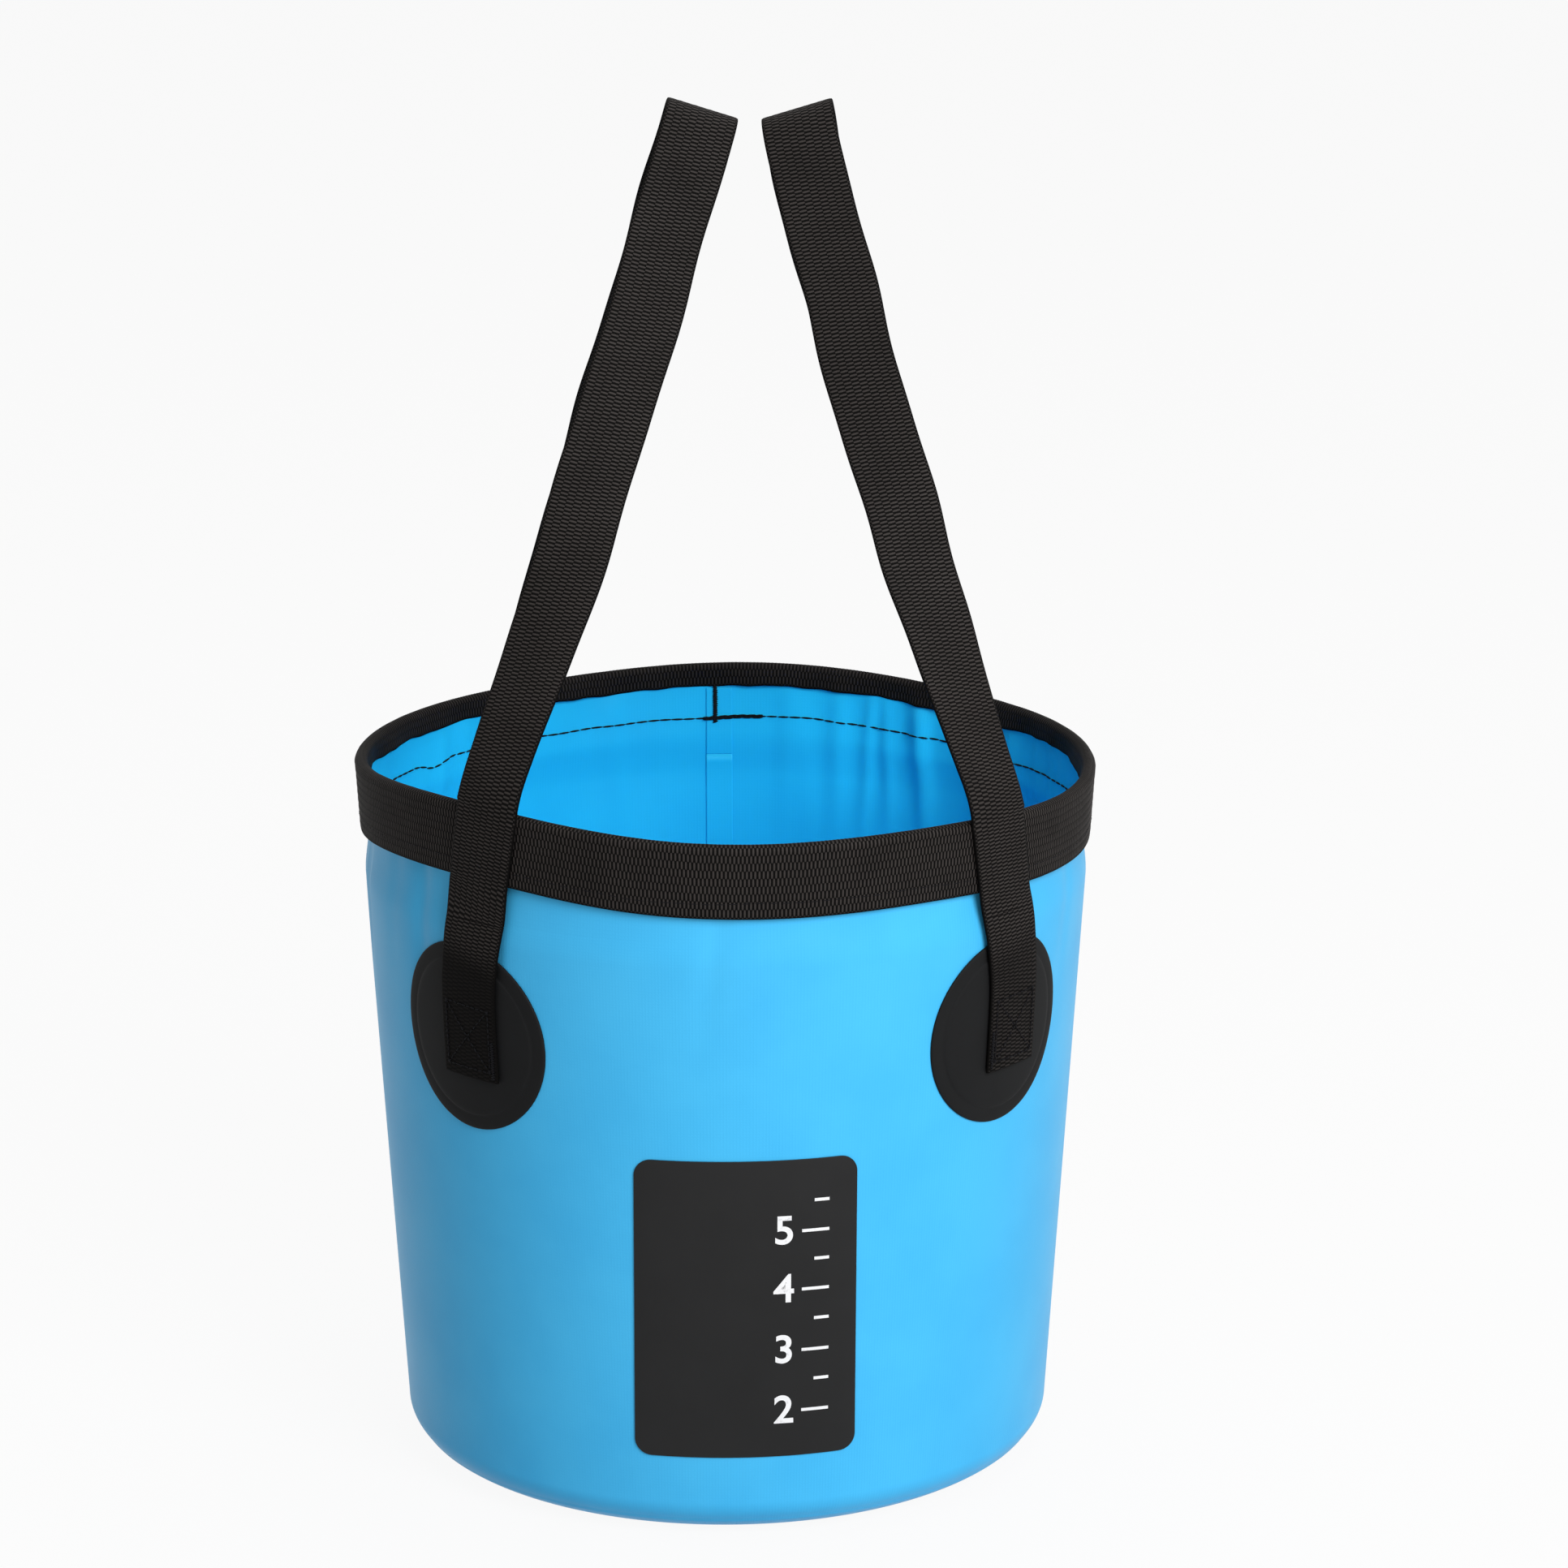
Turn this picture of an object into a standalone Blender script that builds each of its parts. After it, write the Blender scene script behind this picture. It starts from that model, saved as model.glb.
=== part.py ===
"""Collapsible camp bucket: a coated-fabric wall welded to a base disc, a webbing band folded over
a stiffened rim, four round patches, and two webbing carrying loops. Metres, +Z up, front is -Y.
The bucket stands on Z = 0 with its axis on Z."""

import math

import bmesh
import bpy
from mathutils import Matrix, Vector

# Driving sizes of the bucket
rim_height = 0.254
floor_radius = 0.115
rim_radius = 0.1309
fabric = 0.0006
webbing = 0.0012
gap = 0.0003
merge_distance = 0.00001
turn_steps = 48

# Base: the wall turns in under a rounded corner and ends in a flat lap, with the disc welded on it
corner_height = 0.015
corner_reach = 0.024
corner_steps = 5
weld_lap = 0.012
disc_thickness = 0.0006

# Rim: webbing folded over the top edge, with a flat strip inside the fold
band_width = 0.026
band_proud = 0.0002
band_flap = 0.0085
fold_round = 0.0022
fold_steps = 3
stiffener_thickness = 0.0007
stiffener_margin = 0.002
tuck_run = 0.010
tuck_steps = 4
stitch_above_band_edge = 0.0055
thread = 0.0008
bartack_width = 0.0016
bartack_offset = 0.0032
bartack_columns = 2

# Back seam: the lapped end of the wall sheet
seam_width = 0.018
seam_end_margin = 0.004
seam_columns = 4

# Label panel on the front
panel_width = 0.077
panel_offset = 0.002
panel_foot = 0.032
panel_height = 0.1095
panel_corner = 0.006
panel_corner_steps = 3
panel_thickness = 0.0005
panel_cut = 0.007

# Round patches, one under each strap end
patch_radius = 0.0335
patch_angle = math.radians(46.4)
back_patch_angle = math.radians(43.5)
patch_drop = 0.078
patch_thickness = 0.0012
patch_edge_thickness = 0.0008
patch_border = 0.0046
patch_bevel = 0.0012
patch_steps = 24
patch_ring_shares = (0.34, 0.68)

# Straps
strap_width = 0.0255
strap_columns = 3
sewn_end_drop = 0.014
strap_angle = math.radians(46.7)
strap_drift_angle = math.radians(1.3)
back_strap_angle = math.radians(43.5)
back_drift_angle = math.radians(5.4)
lean_start_rise = 0.019
lean_slope = 0.22
lean_softness = 0.008
joint_gap = 0.0004
sewn_rows = 12

# Box stitching with its cross, on each sewn strap end
box_width = 0.020
box_height = 0.0225
box_margin = 0.0035

# Loops, as they stand when held up together
loop_rise = 0.227
fold_radius = 0.009
top_half_spacing = 0.0161
top_drift = 0.0086
left_loop_bow = 0.0018
right_loop_bow = 0.0040
rim_corner_rise = 0.006
rim_corner_clearance = 0.0006
rim_leave_drop = 0.001
rim_corner_run = 0.010
twist_run = 0.140
band_rows = 3
corner_rows = 6
leg_rows = 20
fold_rows = 12

# Finishes: colour, roughness, metallic
blue_fabric = ((0.08, 0.47, 0.88), 0.42, 0.0)
black_webbing = ((0.014, 0.012, 0.012), 0.85, 0.0)
black_patch = ((0.011, 0.011, 0.011), 0.55, 0.0)
black_panel = ((0.020, 0.020, 0.021), 0.50, 0.0)
black_thread = ((0.012, 0.012, 0.014), 0.75, 0.0)
white_plastic = ((0.70, 0.70, 0.68), 0.50, 0.0)

# Sizes that follow from the ones above
band_foot = rim_height - band_width
fold_outside = band_proud
fold_inside = -(webbing + 3 * gap + stiffener_thickness + fabric + webbing - band_proud)
stiffener_outside = band_proud - webbing - gap
wall_tuck = stiffener_outside - stiffener_thickness - gap
inside_tuck = wall_tuck - fabric
flat_radius = floor_radius + (rim_radius - floor_radius) * corner_height / rim_height - corner_reach
split_height = band_foot
patch_centre_height = rim_height - patch_drop
sewn_end_height = patch_centre_height - sewn_end_drop
lean_from_height = patch_centre_height + lean_start_rise
loop_top = rim_height + loop_rise
left, right = -1, 1
front, back = -1, 1
patch_angles = {
    (front, left): -patch_angle,
    (front, right): patch_angle,
    (back, left): back_drift_angle - back_patch_angle,
    (back, right): back_drift_angle + back_patch_angle,
}
strap_angles = {front: strap_angle, back: back_strap_angle}
strap_drifts = {front: strap_drift_angle, back: back_drift_angle}


def wall_radius(height):
    """Radius of the wall's outer face where nothing draws it in."""
    return floor_radius + (rim_radius - floor_radius) * height / rim_height


def smooth(share):
    share = min(max(share, 0.0), 1.0)
    return share * share * (3 - 2 * share)


def wall_point(angle, height, stand_off):
    """A point on the wall: angle from the front towards +X, and distance out from the outer face."""
    radius = wall_radius(height) + stand_off
    return Vector((radius * math.sin(angle), -radius * math.cos(angle), height))


def clear_scene():
    for obj in list(bpy.data.objects):
        bpy.data.objects.remove(obj, do_unlink=True)


def new_collection(name):
    collection = bpy.data.collections.new(name)
    bpy.context.scene.collection.children.link(collection)
    return collection


def add_object(name, mesh, finish, parent=None):
    colour, roughness, metallic = finish
    obj = bpy.data.objects.new(name, mesh)
    bucket.objects.link(obj)
    material = bpy.data.materials.new(name)
    material.use_nodes = True
    shader = material.node_tree.nodes["Principled BSDF"]
    shader.inputs["Base Color"].default_value = (*colour, 1.0)
    shader.inputs["Roughness"].default_value = roughness
    shader.inputs["Metallic"].default_value = metallic
    mesh.materials.append(material)
    if parent:
        obj.parent = parent
        obj.matrix_parent_inverse = Matrix.Translation(parent.location).inverted()
    return obj


def add_empty(name, place):
    empty = bpy.data.objects.new(name, None)
    empty.location = place
    bucket.objects.link(empty)
    return empty


def mesh_from(bm, name):
    mesh = bpy.data.meshes.new(name)
    bm.to_mesh(mesh)
    bm.free()
    mesh.shade_smooth()
    mesh.set_sharp_from_angle(angle=math.radians(40))
    return mesh


def profile_mesh(name, points, closed=False):
    """Edges through points given as (radius, height)."""
    bm = bmesh.new()
    verts = [bm.verts.new((radius, 0.0, height)) for radius, height in points]
    for first, second in zip(verts, verts[1:]):
        bm.edges.new((first, second))
    if closed:
        bm.edges.new((verts[-1], verts[0]))
    return mesh_from(bm, name)


def turn(obj, steps):
    screw = obj.modifiers.new("turn", "SCREW")
    screw.angle = math.tau
    screw.steps = steps
    screw.render_steps = steps
    screw.use_merge_vertices = True
    screw.merge_threshold = merge_distance
    screw.use_smooth_shade = True


def thicken(obj, thickness, offset):
    shell = obj.modifiers.new("thickness", "SOLIDIFY")
    shell.thickness = thickness
    shell.offset = offset
    shell.use_even_offset = True


def settled_mesh(obj):
    """The object's mesh with its modifiers made real. The object itself is removed."""
    bpy.context.view_layer.update()
    graph = bpy.context.evaluated_depsgraph_get()
    mesh = bpy.data.meshes.new_from_object(obj.evaluated_get(graph))
    bpy.data.objects.remove(obj, do_unlink=True)
    return mesh


def lay_on_wall(bm, angle, centre_height, stand_off):
    """Wraps a flat piece round the wall: X goes round, Y goes up and Z stands out."""
    for vert in bm.verts:
        height = centre_height + vert.co.y
        around = angle + vert.co.x / wall_radius(height)
        vert.co = wall_point(around, height, stand_off + vert.co.z)


def cut_upright(bm, half_width, pitch):
    """Cuts a flat piece into upright strips, so that it can bend round the wall."""
    count = max(1, round(2 * half_width / pitch))
    for index in range(1, count):
        place = half_width * (2 * index / count - 1)
        everything = bm.verts[:] + bm.edges[:] + bm.faces[:]
        bmesh.ops.bisect_plane(bm, geom=everything, plane_co=(place, 0, 0), plane_no=(1, 0, 0))


def ribbon_mesh(name, rows):
    """A grid whose rows lie on the given rows of points, which run across the ribbon."""
    across, along = len(rows[0]) - 1, len(rows) - 1
    bm = bmesh.new()
    bmesh.ops.create_grid(bm, x_segments=across, y_segments=along, size=1.0)
    for vert in bm.verts:
        column = round((vert.co.x + 1) / 2 * across)
        row = round((vert.co.y + 1) / 2 * along)
        vert.co = rows[row][column]
    return mesh_from(bm, name)


def across_strap():
    return [strap_width * (column / strap_columns - 0.5) for column in range(strap_columns + 1)]


def make_wall():
    top = rim_height - webbing - gap
    points = [(wall_radius(top) + wall_tuck, top)]
    for step in range(tuck_steps + 1):
        share = step / tuck_steps
        height = band_foot - share * tuck_run
        points.append((wall_radius(height) + wall_tuck * (1 - smooth(share)), height))
    middle = (band_foot + corner_height) / 2
    points.append((wall_radius(middle), middle))
    for step in range(corner_steps + 1):
        turned = math.pi / 2 * step / corner_steps
        radius = flat_radius + corner_reach * math.cos(turned)
        points.append((radius, corner_height * (1 - math.sin(turned))))
    points.append((flat_radius - weld_lap, 0.0))
    wall = add_object("wall", profile_mesh("wall", points), blue_fabric)
    turn(wall, turn_steps)
    thicken(wall, fabric, -1)


def make_base_disc():
    low = fabric + gap
    high = low + disc_thickness
    points = [(0.0, high), (flat_radius, high), (flat_radius, low), (0.0, low)]
    turn(add_object("base_disc", profile_mesh("base_disc", points), blue_fabric), turn_steps)


def make_rim(parent):
    """The band's section is a closed outline that runs down its outer side and up inside."""
    outer = []
    inner = []
    for step in range(fold_steps + 1):
        turned = math.pi / 2 * step / fold_steps
        rise = fold_round * (1 - math.cos(turned))
        reach = fold_round * (1 - math.sin(turned))
        outer.append((wall_radius(rim_height) + fold_outside - rise, rim_height - reach))
        inner.append((wall_radius(rim_height) + fold_inside + rise, rim_height - reach))
    outline = inner + outer[::-1]
    outline.append((wall_radius(band_foot) + fold_outside, band_foot))
    outline.append((wall_radius(band_foot) + fold_outside - webbing, band_foot))
    under_fold = rim_height - webbing
    outline.append((wall_radius(under_fold) + fold_outside - webbing, under_fold))
    outline.append((wall_radius(under_fold) + fold_inside + webbing, under_fold))
    flap_foot = rim_height - band_flap
    outline.append((wall_radius(flap_foot) + fold_inside + webbing, flap_foot))
    outline.append((wall_radius(flap_foot) + fold_inside, flap_foot))
    band = add_object("rim_band", profile_mesh("rim_band", outline, True), black_webbing, parent)
    turn(band, turn_steps)

    high = rim_height - webbing - gap
    low = band_foot + stiffener_margin
    strip = [
        (wall_radius(high) + stiffener_outside, high),
        (wall_radius(low) + stiffener_outside, low),
        (wall_radius(low) + stiffener_outside - stiffener_thickness, low),
        (wall_radius(high) + stiffener_outside - stiffener_thickness, high),
    ]
    stiffener = profile_mesh("rim_stiffener", strip, True)
    turn(add_object("rim_stiffener", stiffener, white_plastic, parent), turn_steps)


def make_rim_stitches(parent):
    height = band_foot + stitch_above_band_edge
    bpy.ops.mesh.primitive_torus_add(
        major_radius=wall_radius(height) + inside_tuck - gap - thread / 2,
        minor_radius=thread / 2,
        major_segments=turn_steps,
        minor_segments=6,
    )
    ring = bpy.context.object
    mesh = ring.data.copy()
    mesh.transform(Matrix.Translation((0, 0, height)))
    bpy.data.objects.remove(ring, do_unlink=True)
    mesh.shade_smooth()
    add_object("rim_stitch", mesh, black_thread, parent)

    low = height + thread / 2 + gap
    high = rim_height - band_flap - gap
    bm = bmesh.new()
    bmesh.ops.create_cube(bm, size=1.0)
    bmesh.ops.scale(bm, vec=(bartack_width, high - low, thread), verts=bm.verts[:])
    cut_upright(bm, bartack_width / 2, bartack_width / bartack_columns)
    angle = math.pi - bartack_offset / wall_radius(height)
    middle = (low + high) / 2
    lay_on_wall(bm, angle, middle, inside_tuck - gap - thread / 2)
    add_object("seam_bartack", mesh_from(bm, "seam_bartack"), black_thread, parent)


def make_back_seam():
    foot = corner_height + seam_end_margin
    head = band_foot - tuck_run - seam_end_margin
    rows = []
    for height in (foot, head):
        row = []
        for column in range(seam_columns + 1):
            around = seam_width * (column / seam_columns - 0.5) / wall_radius(height)
            row.append(wall_point(math.pi + around, height, gap + fabric / 2))
        rows.append(row)
    strip = add_object("back_seam_strip", ribbon_mesh("back_seam_strip", rows), blue_fabric)
    thicken(strip, fabric, 0)


def rounded_outline():
    """The panel's outline, flat and centred, with an arc at each corner."""
    points = []
    for quarter in range(4):
        sign_x = 1 if quarter in (0, 3) else -1
        sign_y = 1 if quarter in (0, 1) else -1
        centre_x = sign_x * (panel_width / 2 - panel_corner)
        centre_y = sign_y * (panel_height / 2 - panel_corner)
        for step in range(panel_corner_steps + 1):
            angle = math.pi / 2 * (quarter + step / panel_corner_steps)
            x = centre_x + panel_corner * math.cos(angle)
            points.append((x, centre_y + panel_corner * math.sin(angle)))
    return points


def make_label_panel():
    bm = bmesh.new()
    bm.faces.new([bm.verts.new((x, y, 0.0)) for x, y in rounded_outline()])
    cut_upright(bm, panel_width / 2, panel_cut)
    middle = panel_foot + panel_height / 2
    lay_on_wall(bm, panel_offset / wall_radius(middle), middle, gap + panel_thickness / 2)
    panel = add_object("label_panel", mesh_from(bm, "label_panel"), black_panel)
    thicken(panel, panel_thickness, 0)


def patch_disc():
    """The round patch lying flat: a raised border round a plain face."""
    points = [(0.0, patch_thickness)]
    inside_border = patch_radius - patch_border - patch_bevel
    for share in patch_ring_shares:
        points.append((inside_border * share, patch_thickness))
    points.append((inside_border, patch_thickness))
    points.append((inside_border + patch_bevel, patch_edge_thickness))
    points.append((patch_radius, patch_edge_thickness))
    points.append((patch_radius, 0.0))
    points.append((inside_border, 0.0))
    for share in patch_ring_shares[::-1]:
        points.append((inside_border * share, 0.0))
    points.append((0.0, 0.0))
    disc = bpy.data.objects.new("patch_disc", profile_mesh("patch_disc", points))
    bucket.objects.link(disc)
    turn(disc, patch_steps)
    return settled_mesh(disc)


def wall_angle(end, angle):
    """Angle round the wall of a place whose own angle starts at the middle of the front or the back."""
    return angle if end == front else math.pi - angle


def faced(point, end):
    """The point itself at the front, and its mirror image at the back."""
    return Vector((point.x, -end * point.y, point.z))


def strap_angle_at(side, end, height):
    """Angle of the strap's centre line from the middle of its end. It leans inwards above its patch."""
    above = height - lean_from_height
    leaned = lean_slope * (above + math.hypot(above, lean_softness)) / 2
    return side * (strap_angles[end] - leaned / wall_radius(height)) + strap_drifts[end]


def strap_row_on_wall(side, end, height, stand_off):
    """Points across the strap where it lies on the wall or the band, square to its own run."""
    probe = webbing
    low = strap_angle_at(side, end, height - probe)
    high = strap_angle_at(side, end, height + probe)
    slope = (high - low) * wall_radius(height) / (2 * probe)
    length = math.hypot(1.0, slope)
    row = []
    for place in across_strap():
        at_height = height - place * slope / length
        around = place / length / wall_radius(height)
        angle = strap_angle_at(side, end, height) + around
        row.append(faced(wall_point(angle, at_height, stand_off), end))
    return row


def on_patch():
    return gap + patch_thickness + gap + webbing / 2


def on_band():
    return band_proud + gap + webbing / 2


def end_name(end, side):
    return ("front" if end == front else "back") + "_" + ("left" if side == left else "right")


def make_patch_and_strap_end(end, side):
    bm = bmesh.new()
    bm.from_mesh(patch_disc())
    lay_on_wall(bm, wall_angle(end, patch_angles[end, side]), patch_centre_height, gap)
    name = "patch_" + end_name(end, side)
    add_object(name, mesh_from(bm, name), black_patch)

    low = sewn_end_height
    high = split_height - joint_gap
    leave = patch_centre_height + patch_radius
    rows = []
    for index in range(sewn_rows + 1):
        height = low + (high - low) * index / sewn_rows
        share = smooth((height - leave) / (high - leave))
        rows.append(
            strap_row_on_wall(side, end, height, on_patch() + (on_band() - on_patch()) * share)
        )
    name = "strap_end_" + end_name(end, side)
    thicken(add_object(name, ribbon_mesh(name, rows), black_webbing), webbing, 0)
    make_box_stitch(end, side)


def make_box_stitch(end, side):
    """Thread along the sides of a box and its diagonals, on top of the sewn strap end."""
    half_width, half_height = box_width / 2, box_height / 2
    bm = bmesh.new()
    corners = [(-1, -1), (0, -1), (1, -1), (1, 1), (0, 1), (-1, 1)]
    ring = [bm.verts.new((x * half_width, y * half_height, 0.0)) for x, y in corners]
    centre = bm.verts.new((0.0, 0.0, 0.0))
    bm.faces.new((ring[0], ring[1], ring[2], centre))
    bm.faces.new((ring[2], ring[3], centre))
    bm.faces.new((ring[3], ring[4], ring[5], centre))
    bm.faces.new((ring[5], ring[0], centre))
    name = "box_stitch_" + end_name(end, side)
    flat = bpy.data.objects.new(name + "_flat", mesh_from(bm, name))
    bucket.objects.link(flat)
    wires = flat.modifiers.new("thread", "WIREFRAME")
    wires.thickness = thread
    wires.use_boundary = True
    wires.use_replace = True
    wires.use_even_offset = True
    bm = bmesh.new()
    bm.from_mesh(settled_mesh(flat))
    middle = sewn_end_height + box_margin + box_height / 2
    stand_off = on_patch() + webbing / 2 + gap + thread / 2
    lay_on_wall(bm, wall_angle(end, strap_angle_at(side, end, middle)), middle, stand_off)
    add_object(name, mesh_from(bm, name), black_thread)


def rim_corner(side, end):
    """Where the strap leaves the rim, on the front side: the angle and the point."""
    height = rim_height + rim_corner_rise
    angle = strap_angle_at(side, end, height)
    return angle, wall_point(angle, height, on_band() + rim_corner_clearance)


def fold_top(side):
    return Vector((side * top_half_spacing + top_drift, 0.0, loop_top - webbing / 2))


def loop_path(side, end):
    """Centre points from the rim to the top of the fold, on the front side."""
    leave = rim_height - rim_leave_drop
    start = wall_point(strap_angle_at(side, end, leave), leave, on_band())
    corner = rim_corner(side, end)[1]
    top = fold_top(side)
    centre_height = top.z - fold_radius
    bow = right_loop_bow if side == right else left_loop_bow

    def sideways(height):
        share = (height - corner.z) / (top.z - corner.z)
        return corner.x + (top.x - corner.x) * share - side * bow * 4 * share * (1 - share)

    # The leg runs straight, as seen along X, and touches the circle of the fold.
    across, up = corner.y, corner.z - centre_height
    far = math.hypot(across, up)
    touch = (math.atan2(up, across) - math.acos(fold_radius / far)) % math.tau
    touch_y = fold_radius * math.cos(touch)
    touch_z = centre_height + fold_radius * math.sin(touch)

    def leg_point(share):
        height = corner.z + (touch_z - corner.z) * share
        return Vector((sideways(height), corner.y + (touch_y - corner.y) * share, height))

    leg_length = math.hypot(touch_y - corner.y, touch_z - corner.z)
    first_share = rim_corner_run / leg_length
    points = []
    for index in range(1, corner_rows + 1):
        share = index / corner_rows
        first = start.lerp(corner, share)
        points.append(first.lerp(corner.lerp(leg_point(first_share), share), share))
    for index in range(1, leg_rows + 1):
        points.append(leg_point(first_share + (1 - first_share) * index / leg_rows))
    sweep = touch - math.pi / 2
    half = fold_rows // 2
    for index in range(1, half + 1):
        angle = touch - sweep * index / half
        height = centre_height + fold_radius * math.sin(angle)
        points.append(Vector((sideways(height), fold_radius * math.cos(angle), height)))
    return points


def half_loop_rows(side, end):
    """Points across the strap for every station of half a loop, from its foot to the fold's top."""
    rows = []
    low = split_height + joint_gap
    leave = rim_height - rim_leave_drop
    for index in range(band_rows + 1):
        height = low + (leave - low) * index / band_rows
        rows.append([faced(p, end) for p in strap_row_on_wall(side, end, height, on_band())])
    rise = 2 * fold_top(side) - rim_corner(side, front)[1] - rim_corner(side, back)[1]
    level = Vector((rise.z, 0.0, -rise.x)).normalized()
    rim_angle = rim_corner(side, end)[0]
    round_rim = Vector((math.cos(rim_angle), math.sin(rim_angle), 0.0))
    points = loop_path(side, end)
    for index, point in enumerate(points):
        before = points[index - 1] if index else (rows[-1][0] + rows[-1][-1]) / 2
        past_top = Vector((before.x, -before.y, before.z))
        after = points[index + 1] if index + 1 < len(points) else past_top
        run = (after - before).normalized()
        share = smooth((point.z - rim_height) / twist_run)
        wide = round_rim.lerp(level, share)
        wide = (wide - run * wide.dot(run)).normalized()
        out = wide.cross(run)
        row = []
        for place in across_strap():
            cup = place * place / (2 * wall_radius(rim_height)) * (1 - share)
            row.append(point + wide * place - out * cup)
        rows.append(row)
    return [[faced(p, end) for p in row] for row in rows]


def loop_rows(side):
    """The front half's stations up to the top of the fold, then the back half's down to its foot."""
    return half_loop_rows(side, front) + half_loop_rows(side, back)[-2::-1]


def make_loop(side, parent):
    name = "handle_strap_" + ("left" if side == left else "right")
    strap = add_object(name, ribbon_mesh(name, loop_rows(side)), black_webbing, parent)
    thicken(strap, webbing, 0)


def hinge_place(side):
    """The middle of the hinge line, which joins the outer edges of the loop's two feet."""
    feet = []
    for end in (front, back):
        row = strap_row_on_wall(side, end, split_height, on_band())
        feet.append(max(row, key=lambda point: side * point.x))
    middle = (feet[0] + feet[1]) / 2
    return Vector((middle.x, middle.y, split_height))


clear_scene()
bucket = new_collection("camp_bucket")
rim_slide = add_empty("rim_slide", (0.0, 0.0, rim_height))
hinges = {
    left: add_empty("handle_hinge_left", hinge_place(left)),
    right: add_empty("handle_hinge_right", hinge_place(right)),
}
make_wall()
make_base_disc()
make_rim(rim_slide)
make_rim_stitches(rim_slide)
make_back_seam()
make_label_panel()
for strap_side in (left, right):
    for strap_end in (front, back):
        make_patch_and_strap_end(strap_end, strap_side)
    make_loop(strap_side, hinges[strap_side])
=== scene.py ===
import math
import random

import bmesh
import bpy
import numpy as np
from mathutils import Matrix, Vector


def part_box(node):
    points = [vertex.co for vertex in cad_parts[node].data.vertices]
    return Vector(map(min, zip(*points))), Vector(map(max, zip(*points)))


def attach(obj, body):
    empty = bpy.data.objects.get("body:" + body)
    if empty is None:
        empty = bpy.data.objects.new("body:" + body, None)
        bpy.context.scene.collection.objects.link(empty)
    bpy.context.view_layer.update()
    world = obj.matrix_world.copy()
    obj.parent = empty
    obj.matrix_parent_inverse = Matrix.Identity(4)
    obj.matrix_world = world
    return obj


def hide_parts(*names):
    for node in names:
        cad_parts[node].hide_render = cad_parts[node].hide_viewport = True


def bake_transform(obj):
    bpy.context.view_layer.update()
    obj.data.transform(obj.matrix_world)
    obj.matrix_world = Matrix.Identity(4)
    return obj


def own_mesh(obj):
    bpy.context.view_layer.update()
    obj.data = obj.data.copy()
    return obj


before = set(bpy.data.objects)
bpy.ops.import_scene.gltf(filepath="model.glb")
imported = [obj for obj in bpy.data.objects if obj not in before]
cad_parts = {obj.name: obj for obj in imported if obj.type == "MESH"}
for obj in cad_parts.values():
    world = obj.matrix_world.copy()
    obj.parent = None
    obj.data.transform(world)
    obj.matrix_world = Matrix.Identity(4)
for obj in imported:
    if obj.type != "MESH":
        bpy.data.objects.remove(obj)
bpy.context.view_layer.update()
print("frame loaded:", len(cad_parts), "nodes")

# Sizes shared by the whole bucket, in metres. Angles run from the front towards +X.
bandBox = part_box("rim_band")
bucket = {
    "rimHeight": bandBox[1].z, "bandFoot": bandBox[0].z, "footRadius": 0.115, "rimRadius": 0.1309,
    "fabric": 0.0006, "webbing": 0.0012, "strapWidth": 0.0255, "bandWidth": 0.0372, "gap": 0.0003,
    "fall": 0.195,  # how far the rim comes down when the bucket is folded flat
}
left, right = -1, 1
front, back = -1, 1
sideNames = {left: "left", right: "right"}
endNames = {front: "front", back: "back"}
legs = [(end, side) for side in (left, right) for end in (front, back)]


def wallRadius(height):
    rise = (bucket["rimRadius"] - bucket["footRadius"]) / bucket["rimHeight"]
    return bucket["footRadius"] + rise * height


def outward(angle):
    return Vector((math.sin(angle), -math.cos(angle), 0.0))


def aroundWall(angle):
    return Vector((math.cos(angle), math.sin(angle), 0.0))


def wallPoint(angle, height, standOff):
    return outward(angle) * (wallRadius(height) + standOff) + Vector((0, 0, height))


def smooth(share):
    share = min(max(share, 0.0), 1.0)
    return share * share * (3 - 2 * share)


def smoothAll(shares):
    shares = np.clip(shares, 0, 1)
    return shares * shares * (3 - 2 * shares)


def ripple(angle, waves):  # a sum of waves round the bucket, each (count, shift, size)
    return sum(size * math.sin(count * angle + shift) for count, shift, size in waves)


# Node trees: one class wraps a socket, one makes the nodes
class Signal:
    def __init__(self, maker, socket):
        self.maker = maker
        self.socket = socket

    def also(self, name):  # another output of the same node
        return Signal(self.maker, self.socket.node.outputs[name])

    def __add__(self, other):
        return self.maker.math("ADD", self, other)

    def __radd__(self, other):
        return self.maker.math("ADD", other, self)

    def __sub__(self, other):
        return self.maker.math("SUBTRACT", self, other)

    def __rsub__(self, other):
        return self.maker.math("SUBTRACT", other, self)

    def __mul__(self, other):
        return self.maker.math("MULTIPLY", self, other)

    def __rmul__(self, other):
        return self.maker.math("MULTIPLY", other, self)

    def __truediv__(self, other):
        return self.maker.math("DIVIDE", self, other)

    def __pow__(self, other):
        return self.maker.math("POWER", self, other)

    def __mod__(self, other):
        return self.maker.math("FLOORED_MODULO", self, other)


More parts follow.
